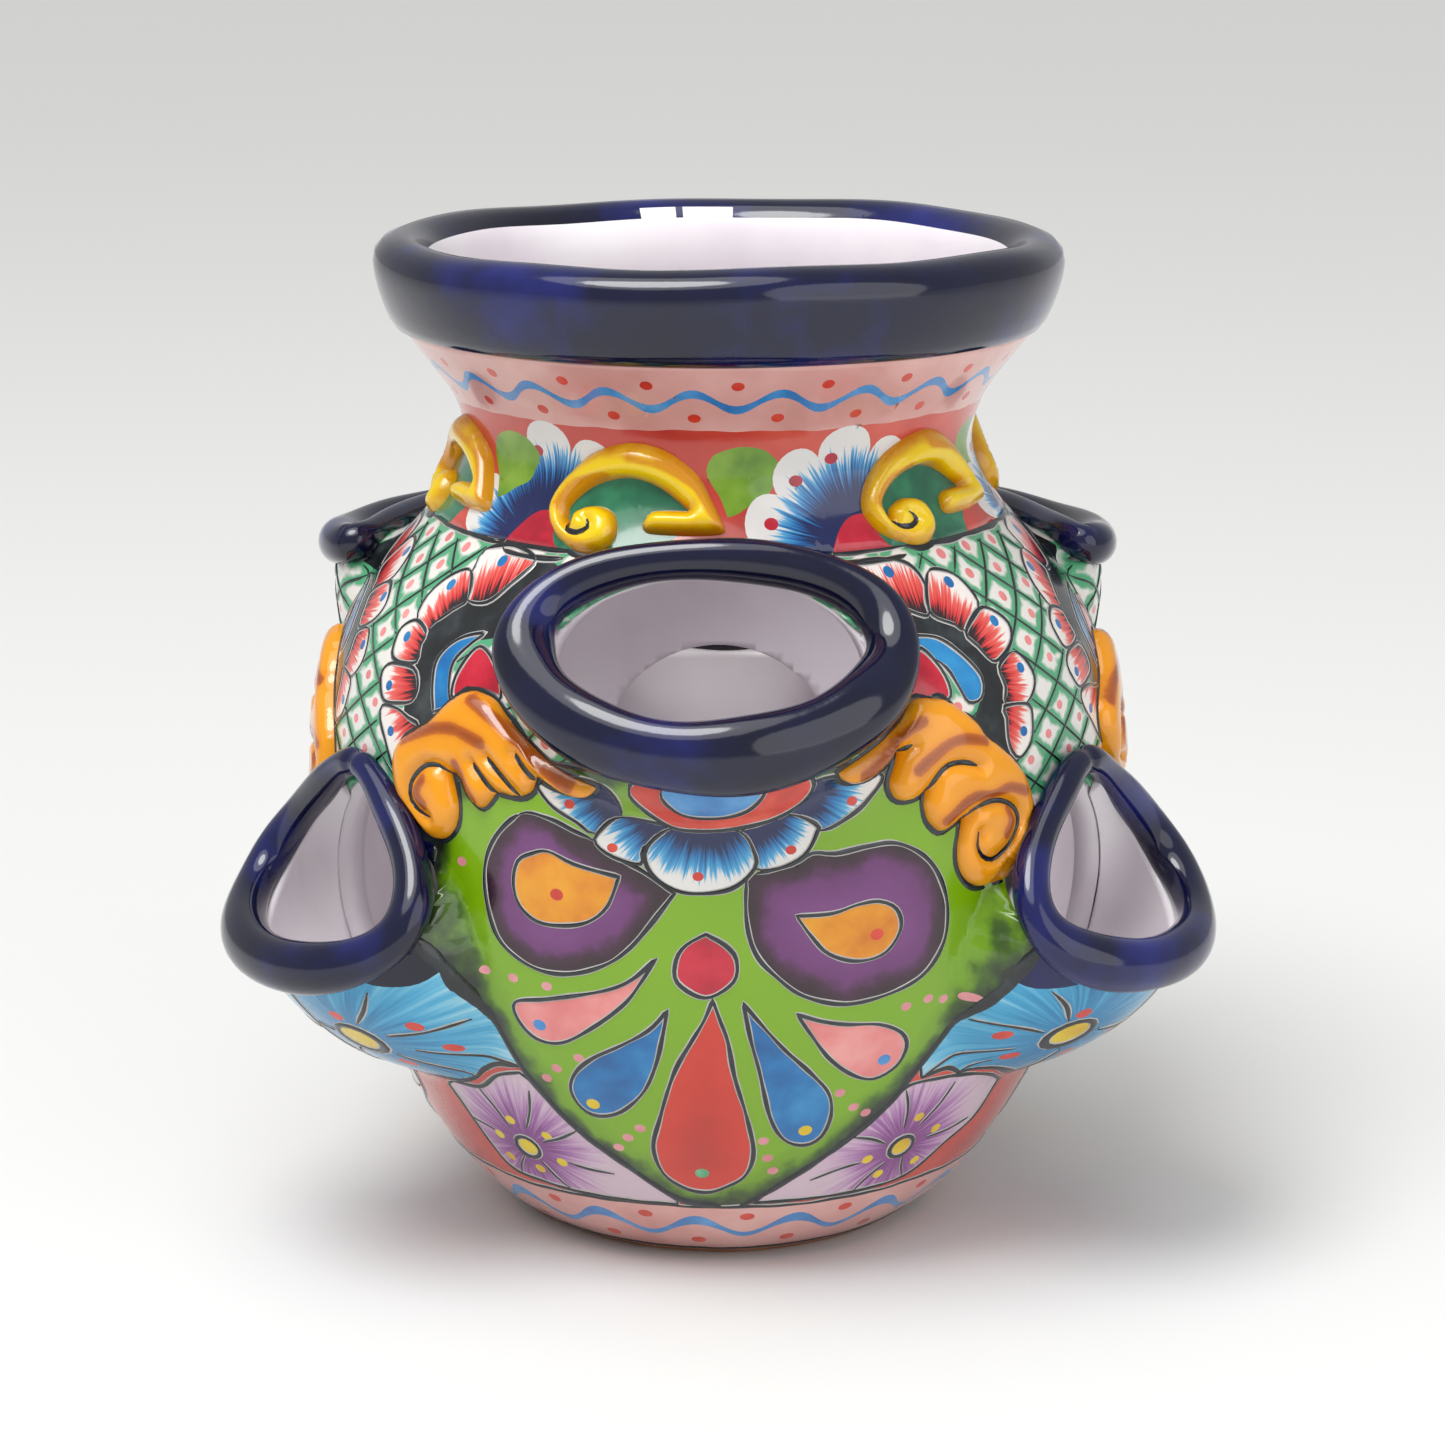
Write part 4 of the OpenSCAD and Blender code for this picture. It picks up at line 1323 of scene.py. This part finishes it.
def cup_body(p):
    """One pocket's cup: a closed strip of clay from the belly wall up into its lip."""
    a = np.linspace(p.start, 360 - p.start, 97)
    outer, outer_top, inner, inner_top, bulge = cup_edges(p, a)
    t = np.linspace(0, 1, 14)
    out = along_face(outer, outer_top, bulge, t)
    back = along_face(inner, inner_top, bulge, t[::-1])
    under_skin = unit(outer_top - inner_top)[:, None] * 2.2
    rows = np.concatenate([out - under_skin, back], 1)
    count, wide = rows.shape[:2]
    points = rows.reshape(-1, 3)
    faces = []
    for i in range(count - 1):
        for j in range(wide):
            k = (j + 1) % wide
            faces.append((i * wide + j, i * wide + k, (i + 1) * wide + k, (i + 1) * wide + j))
    faces += [tuple(range(wide))[::-1], tuple((count - 1) * wide + j for j in range(wide))]
    piece = make_piece(p.name + "_cup_clay", points, faces, [GLAZES["liner"]])
    weld(piece)
    return settle(piece, "painted_cup", p.name + "_cup")


def lip_body(p, index):
    """One pocket's lip: a roll of clay bent round its mouth and pressed on by hand."""
    clear_selection()
    around, across = 168, 24
    bpy.ops.mesh.primitive_torus_add(
        major_segments=around, minor_segments=across, major_radius=50 * MM, minor_radius=6 * MM
    )
    piece = bpy.context.object
    name = p.name + "_rolled_lip"
    piece.name = piece.data.name = name
    bpy.ops.object.shade_smooth()
    a = np.arange(around) * 360.0 / around
    m = mouth(p, a)
    flow = unit(mouth(p, a + 2) - mouth(p, a - 2))
    n = unit(np.cross(flow, placed(p.bearing, 0 * a, 1 + 0 * a, 0 * a)))
    b = np.cross(n, flow)
    upper = p.name.startswith("upper")
    half = lip_half(p, a)
    wave = 1 + 0.05 * np.sin(3 * a * DEGREE + index) + 0.035 * np.sin(7 * a * DEGREE + 2 * index)
    low = drop(a)
    tall = half * (0.95 if upper else 1.12 + 0.2 * low) * wave
    if p.name == "upper_front":
        tall = half * (1.25 + 0.18 * low) * wave
    deep = half * (0.9 if upper else 1.12) * wave
    if not upper:
        # Wide below, and pinched to a crease at the top
        m = m + unit(m - m.mean(0)) * ((5.5 * low**1.5 - 1.8 * (1 - low)) * np.sin(a * DEGREE) ** 2)[:, None]
        crease = np.exp(-(np.minimum(a, 360 - a) / 5.0) ** 2)
        tall, deep = tall * (1 - 0.25 * crease), deep * (1 - 0.25 * crease)
    m[:, 2] -= (1.2 if upper else 0.6) * low**3
    q = np.arange(across) * 360.0 / across * DEGREE
    sideways, outwards = tall[:, None] * np.cos(q), deep[:, None] * np.sin(q)
    points = m[:, None] + n[:, None] * sideways[..., None] + b[:, None] * outwards[..., None]
    set_vertices(piece, points.reshape(-1, 3))
    piece.data.materials.append(GLAZES["cobalt"])
    weld(piece, 0.000001)
    return settle(piece, "cobalt_glaze", p.name + "_lip")


def nearest(flat, lines):
    """Distance in millimetres from each point to the nearest of several drawn lines."""
    return np.min([distance_to(flat, drawn(line, False), False) for line in lines], 0)


def relief(name, kind, height, slot, node_name, turn):
    """A coil of clay modelled on the wall: rounded over its width and cut by a few grooves."""
    outline, grooves, strokes, roll, glaze = kind
    shape = drawn(outline)
    cuts = [stroke(groove, 1.5) for groove in grooves]
    low, high = shape.min(0), shape.max(0)
    scale = mm_per_degree(shape[:, 1].mean())
    gap = 1.15
    bs, zs = np.arange(low[0], high[0], gap / scale), np.arange(low[1], high[1], gap)
    grid = np.array([(b, z) for b in bs for z in zs])
    grid = grid[inside(grid, shape)]
    grid = grid[distance_to(grid, shape) > 0.5]
    points = [(b * scale, z) for b, z in grid]
    edges = []
    for ring in [shape] + cuts:
        base, n = len(points), len(ring)
        points += [(b * scale, z) for b, z in ring]
        edges += [(base + i, base + (i + 1) % n) for i in range(n)]
    flat, faces = triangles_along(points, edges, scale)
    flat, faces = only_used(flat, faces[inside(flat[faces].mean(1), shape)])
    edge = distance_to(flat, shape)
    rise = height * np.sqrt(np.maximum(1 - (1 - np.minimum(edge / roll, 1)) ** 2, 0))
    rise = rise * (0.42 + 0.58 * np.clip(nearest(flat, grooves) / 3.2, 0, 1) ** 0.6)
    brown = nearest(flat, strokes)
    if glaze == "curl":
        weight = np.exp(-((brown / 2.0) ** 2))
    else:
        # The scroll is painted ochre towards the foot of its roll and yellow on the crown, a painted shade of the
        # rounded coil; its brown strokes are ochre too
        weight = np.minimum(edge / 9, 1) - 0.4 * np.exp(-((brown / 1.6) ** 2))
    middle = flat[faces].mean(1)
    slots = np.zeros(len(faces), int)
    for cut in cuts:
        slots[inside(middle, cut)] = 1
    brush = np.stack([flat[faces][..., 0] * 0.3, weight[faces]], -1)
    bottom = on_skin(flat[:, 0] + turn, flat[:, 1], -0.6)
    top = on_skin(flat[:, 0] + turn, flat[:, 1], rise - 0.1)
    piece = closed_sheet(name, faces, top, bottom, [GLAZES[glaze], GLAZES["black"]], slots, brush)
    weld(piece)
    return settle(piece, slot, node_name)


# ---------------------------------------------------------------------------------------------
# The add-on
# ---------------------------------------------------------------------------------------------


class PlanterSettings(bpy.types.PropertyGroup):
    """Sizes and colours that a maker may want to change."""

    curl_height: bpy.props.FloatProperty(
        name="Curl height", description="How far the orange curls stand off the belly", default=0.005, unit="LENGTH"
    )
    scroll_height: bpy.props.FloatProperty(
        name="Scroll height", description="How far the yellow scrolls stand off the neck", default=0.0056,
        unit="LENGTH",
    )
    line_height: bpy.props.FloatProperty(
        name="Line height", description="How proud the black outlines stand", default=0.00028, unit="LENGTH"
    )
    paint_cell: bpy.props.FloatProperty(
        name="Paint cell", description="Size of the painted skin's smallest regular face", default=0.0026,
        unit="LENGTH",
    )
    floor_colour: bpy.props.FloatVectorProperty(
        name="Floor", description="Colour of the sweep under the planter", default=(0.72, 0.72, 0.71), subtype="COLOR"
    )
    key_light: bpy.props.FloatProperty(
        name="Key light", description="Power of the large soft light over the left shoulder", default=36.0,
        unit="POWER",
    )


class PLANTER_OT_glazes(bpy.types.Operator):
    """Mixes the glazes"""

    bl_idname = "planter.glazes"
    bl_label = "Glazes"

    def execute(self, context):
        GLAZES.update(make_glazes())
        return {"FINISHED"}


class PLANTER_OT_clay(bpy.types.Operator):
    """Throws the foot, belly, neck and rim"""

    bl_idname = "planter.clay"
    bl_label = "Thrown clay"

    def execute(self, context):
        profile = [(6.0, 1.0), (7.0, 0.0), (57.0, 0.0), (60.2, 0.3)]
        profile += wall_points(np.linspace(1.2, BASE, 6), COAT_INSET) + [(7.0, BASE), (6.0, BASE - 1)]
        foot = throw_ring("foot_slab", profile)
        glaze_by(foot, (GLAZES["clay"], GLAZES["liner"]), lambda at: at.z > BASE - 0.6)
        follow_wall(foot)
        settle(foot, "painted_belly", "base_slab")

        holes = [copy for hole in pocket_holes() for copy in shifted(hole)]
        flat, faces = lay_sheet(BASE, NECK_JOINT, 3.4, [(h, True) for h in holes], holes)
        flat, faces = only_used(flat, join_seam(flat, faces))
        b, z = flat[:, 0], flat[:, 1]
        outer = round_pot(b, z, pot_radius(z) + hand_wave(b, z) - COAT_INSET)
        inner = round_pot(b, z, pot_radius(z) - WALL)
        belly = closed_sheet("belly_wall", faces, outer, inner, [GLAZES["liner"]])
        weld(belly)
        settle(belly, "painted_belly", "belly_shell")

        z = np.linspace(NECK_JOINT, RIM_JOINT, 15)
        neck = throw_ring("neck_wall", wall_points(z, COAT_INSET) + wall_points(z[::-1], WALL))
        neck.data.materials.append(GLAZES["liner"])
        follow_wall(neck)
        settle(neck, "painted_neck", "neck_collar")

        rim = throw_ring("rolled_rim", [
            (86.6, 277), (95.2, 276.4), (97.6, 277.4), (99.6, 280.2), (101.3, 284), (102.8, 288.4), (104, 293),
            (104.5, 297.2), (103.8, 300.8), (101.4, 303.4), (97.6, 304.8), (93.6, 304.6), (90.4, 302.8), (88, 299.6),
            (86.4, 295), (85.4, 289), (85.6, 283),
        ], 240)
        points = vertices_of(rim)
        turn = np.arctan2(points[:, 0], -points[:, 1])
        high = np.clip((points[:, 2] - RIM_JOINT) / 20, 0, 1)
        points[:, 2] += high * (0.5 * np.sin(3 * turn + 0.4) + 0.3 * np.sin(8 * turn) - 0.6)
        grow = 1 + high * 0.004 * (np.sin(5 * turn + 1) + 0.5 * np.sin(13 * turn) - 1.2)
        points[:, :2] *= grow[:, None]
        set_vertices(rim, points)
        glaze_by(
            rim, (GLAZES["cobalt"], GLAZES["liner"]), lambda at: math.hypot(at.x, at.y) < 88.6 and at.z < 300.5
        )
        settle(rim, "cobalt_glaze", "rim_roll")
        return {"FINISHED"}


class PLANTER_OT_pockets(bpy.types.Operator):
    """Models the six pockets' cups and lips"""

    bl_idname = "planter.pockets"
    bl_label = "Pockets"

    def execute(self, context):
        for index, p in enumerate(POCKETS):
            cup_body(p)
            lip_body(p, index)
        return {"FINISHED"}


class PLANTER_OT_painting(bpy.types.Operator):
    """Paints the belly and the neck and trails the outlines"""

    bl_idname = "planter.painting"
    bl_label = "Painting"

    def execute(self, context):
        settings = context.scene.planter
        lift = settings.line_height / MM
        for name, picture, holes in (("belly", belly_picture(), mouth_cuts()), ("neck", neck_picture(), [])):
            slot = "painted_" + name
            paint_skin(name + "_painting", picture, settings.paint_cell / MM, holes, slot)
            picture.lines = leave_out(picture, holes)
            trail_lines(name + "_bare_edges", picture, GLAZES["halo"], 0.55, lift * 0.45, True, slot)
            trail_lines(name + "_outlines", picture, GLAZES["line"], 0.0, lift, False, slot)
        return {"FINISHED"}


class PLANTER_OT_relief(bpy.types.Operator):
    """Models the orange curls and the yellow scrolls"""

    bl_idname = "planter.relief"
    bl_label = "Relief"

    def execute(self, context):
        settings = context.scene.planter
        for side, shift in zip(("front", "right", "left"), SHIFTS):
            for hand, curl in (("left", LEFT_CURL), ("right", RIGHT_CURL)):
                name = side + "_" + hand
                relief(name + "_curl", curl, settings.curl_height / MM, "orange_glaze", "curl_" + name, shift)
        for k, turn in enumerate(SCROLL_TURNS, 1):
            relief("neck_scroll_coil_%d" % k, NECK_SCROLL, settings.scroll_height / MM, "yellow_glaze",
                   "neck_scroll_%d" % k, turn - SCROLL_DRAWN_AT)
        return {"FINISHED"}


class PLANTER_OT_stage(bpy.types.Operator):
    """Sets the camera, floor and soft light"""

    bl_idname = "planter.stage"
    bl_label = "Stage"

    def execute(self, context):
        settings = context.scene.planter
        scene = context.scene
        clear_selection()
        bpy.ops.mesh.primitive_plane_add(size=60, location=(0, 0, 0))
        floor = bpy.context.object
        floor.name = floor.data.name = "studio_floor"
        paper = new_material("matt_backdrop_paper")
        tree = paper.node_tree
        place = place_on(tree)
        grain = node(tree, "ShaderNodeTexNoise", None, Vector=place, Scale=3.0)
        r, g, b = settings.floor_colour
        tone = node(tree, "ShaderNodeMix", {"data_type": "RGBA"}, i0=grain.outputs["Fac"])
        tone.inputs["A"].default_value = (r * 0.985, g * 0.985, b * 0.985, 1)
        tone.inputs["B"].default_value = (r, g, b, 1)
        colour_into(paper, tone.outputs["Result"])
        tree.nodes["Principled BSDF"].inputs["Roughness"].default_value = 0.9
        floor.data.materials.append(paper)

        world = bpy.data.worlds.new("studio")
        world.use_nodes = True
        world.node_tree.nodes["Background"].inputs["Color"].default_value = (1, 1, 1, 1)
        world.node_tree.nodes["Background"].inputs["Strength"].default_value = 0.45
        scene.world = world
        for name, place, aim, wide, power in (
            ("key", (-0.7, -0.9, 2.3), (0, 0, 0.18), 1.3, settings.key_light),
            ("fill", (1.5, -1.6, 0.7), (0, 0, 0.15), 2.4, settings.key_light * 0.5),
        ):
            light = bpy.data.lights.new(name, "AREA")
            light.shape, light.size, light.energy = "DISK", wide, power
            lamp = bpy.data.objects.new(name, light)
            lamp.location = place
            lamp.rotation_euler = (Vector(aim) - Vector(place)).to_track_quat("-Z", "Y").to_euler()
            scene.collection.objects.link(lamp)
        sky = bpy.data.lights.new("skylight", "SUN")
        sky.energy, sky.angle = 1.5, 60 * DEGREE
        lamp = bpy.data.objects.new("skylight", sky)
        lamp.rotation_euler = (18 * DEGREE, -14 * DEGREE, 0)
        scene.collection.objects.link(lamp)
        camera = bpy.data.cameras.new("camera")
        camera.lens, camera.sensor_width, camera.clip_end = 94.8, 36, 50
        eye = bpy.data.objects.new("camera", camera)
        eye.location = (0.00133, -1.150, 0.433)
        eye.rotation_euler = (76.25 * DEGREE, 0, 0)
        scene.collection.objects.link(eye)
        scene.camera = eye
        scene.view_settings.view_transform = "Standard"
        return {"FINISHED"}


class PLANTER_PT_panel(bpy.types.Panel):
    """The planter's steps and settings"""

    bl_label = "Planter"
    bl_idname = "PLANTER_PT_panel"
    bl_space_type = "VIEW_3D"
    bl_region_type = "UI"
    bl_category = "Planter"

    def draw(self, context):
        for key in ("curl_height", "scroll_height", "line_height", "paint_cell", "floor_colour", "key_light"):
            self.layout.prop(context.scene.planter, key)
        for step in STEPS:
            self.layout.operator(step.bl_idname)


STEPS = (
    PLANTER_OT_glazes, PLANTER_OT_clay, PLANTER_OT_pockets, PLANTER_OT_painting, PLANTER_OT_relief, PLANTER_OT_stage,
)


def pocket_holes():
    """The openings cut in the belly wall behind the pockets, as bearings and heights."""
    holes = []
    a = np.linspace(0, 360, 97)[:-1]
    for p in POCKETS:
        across, z = hole_point(p, a)
        turned = np.degrees(np.arcsin(across / pot_radius(z)))
        holes.append(np.stack([turned + p.bearing, z], -1))
    return holes


def register():
    for made in (PlanterSettings,) + STEPS + (PLANTER_PT_panel,):
        bpy.utils.register_class(made)
    bpy.types.Scene.planter = bpy.props.PointerProperty(type=PlanterSettings)


def unregister():
    del bpy.types.Scene.planter
    for made in (PLANTER_PT_panel,) + STEPS[::-1] + (PlanterSettings,):
        bpy.utils.unregister_class(made)


def main():
    register()
    bpy.ops.planter.glazes()
    bpy.ops.planter.clay()
    bpy.ops.planter.pockets()
    bpy.ops.planter.painting()
    bpy.ops.planter.relief()
    bpy.ops.planter.stage()
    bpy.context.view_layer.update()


if __name__ == "__main__":
    main()
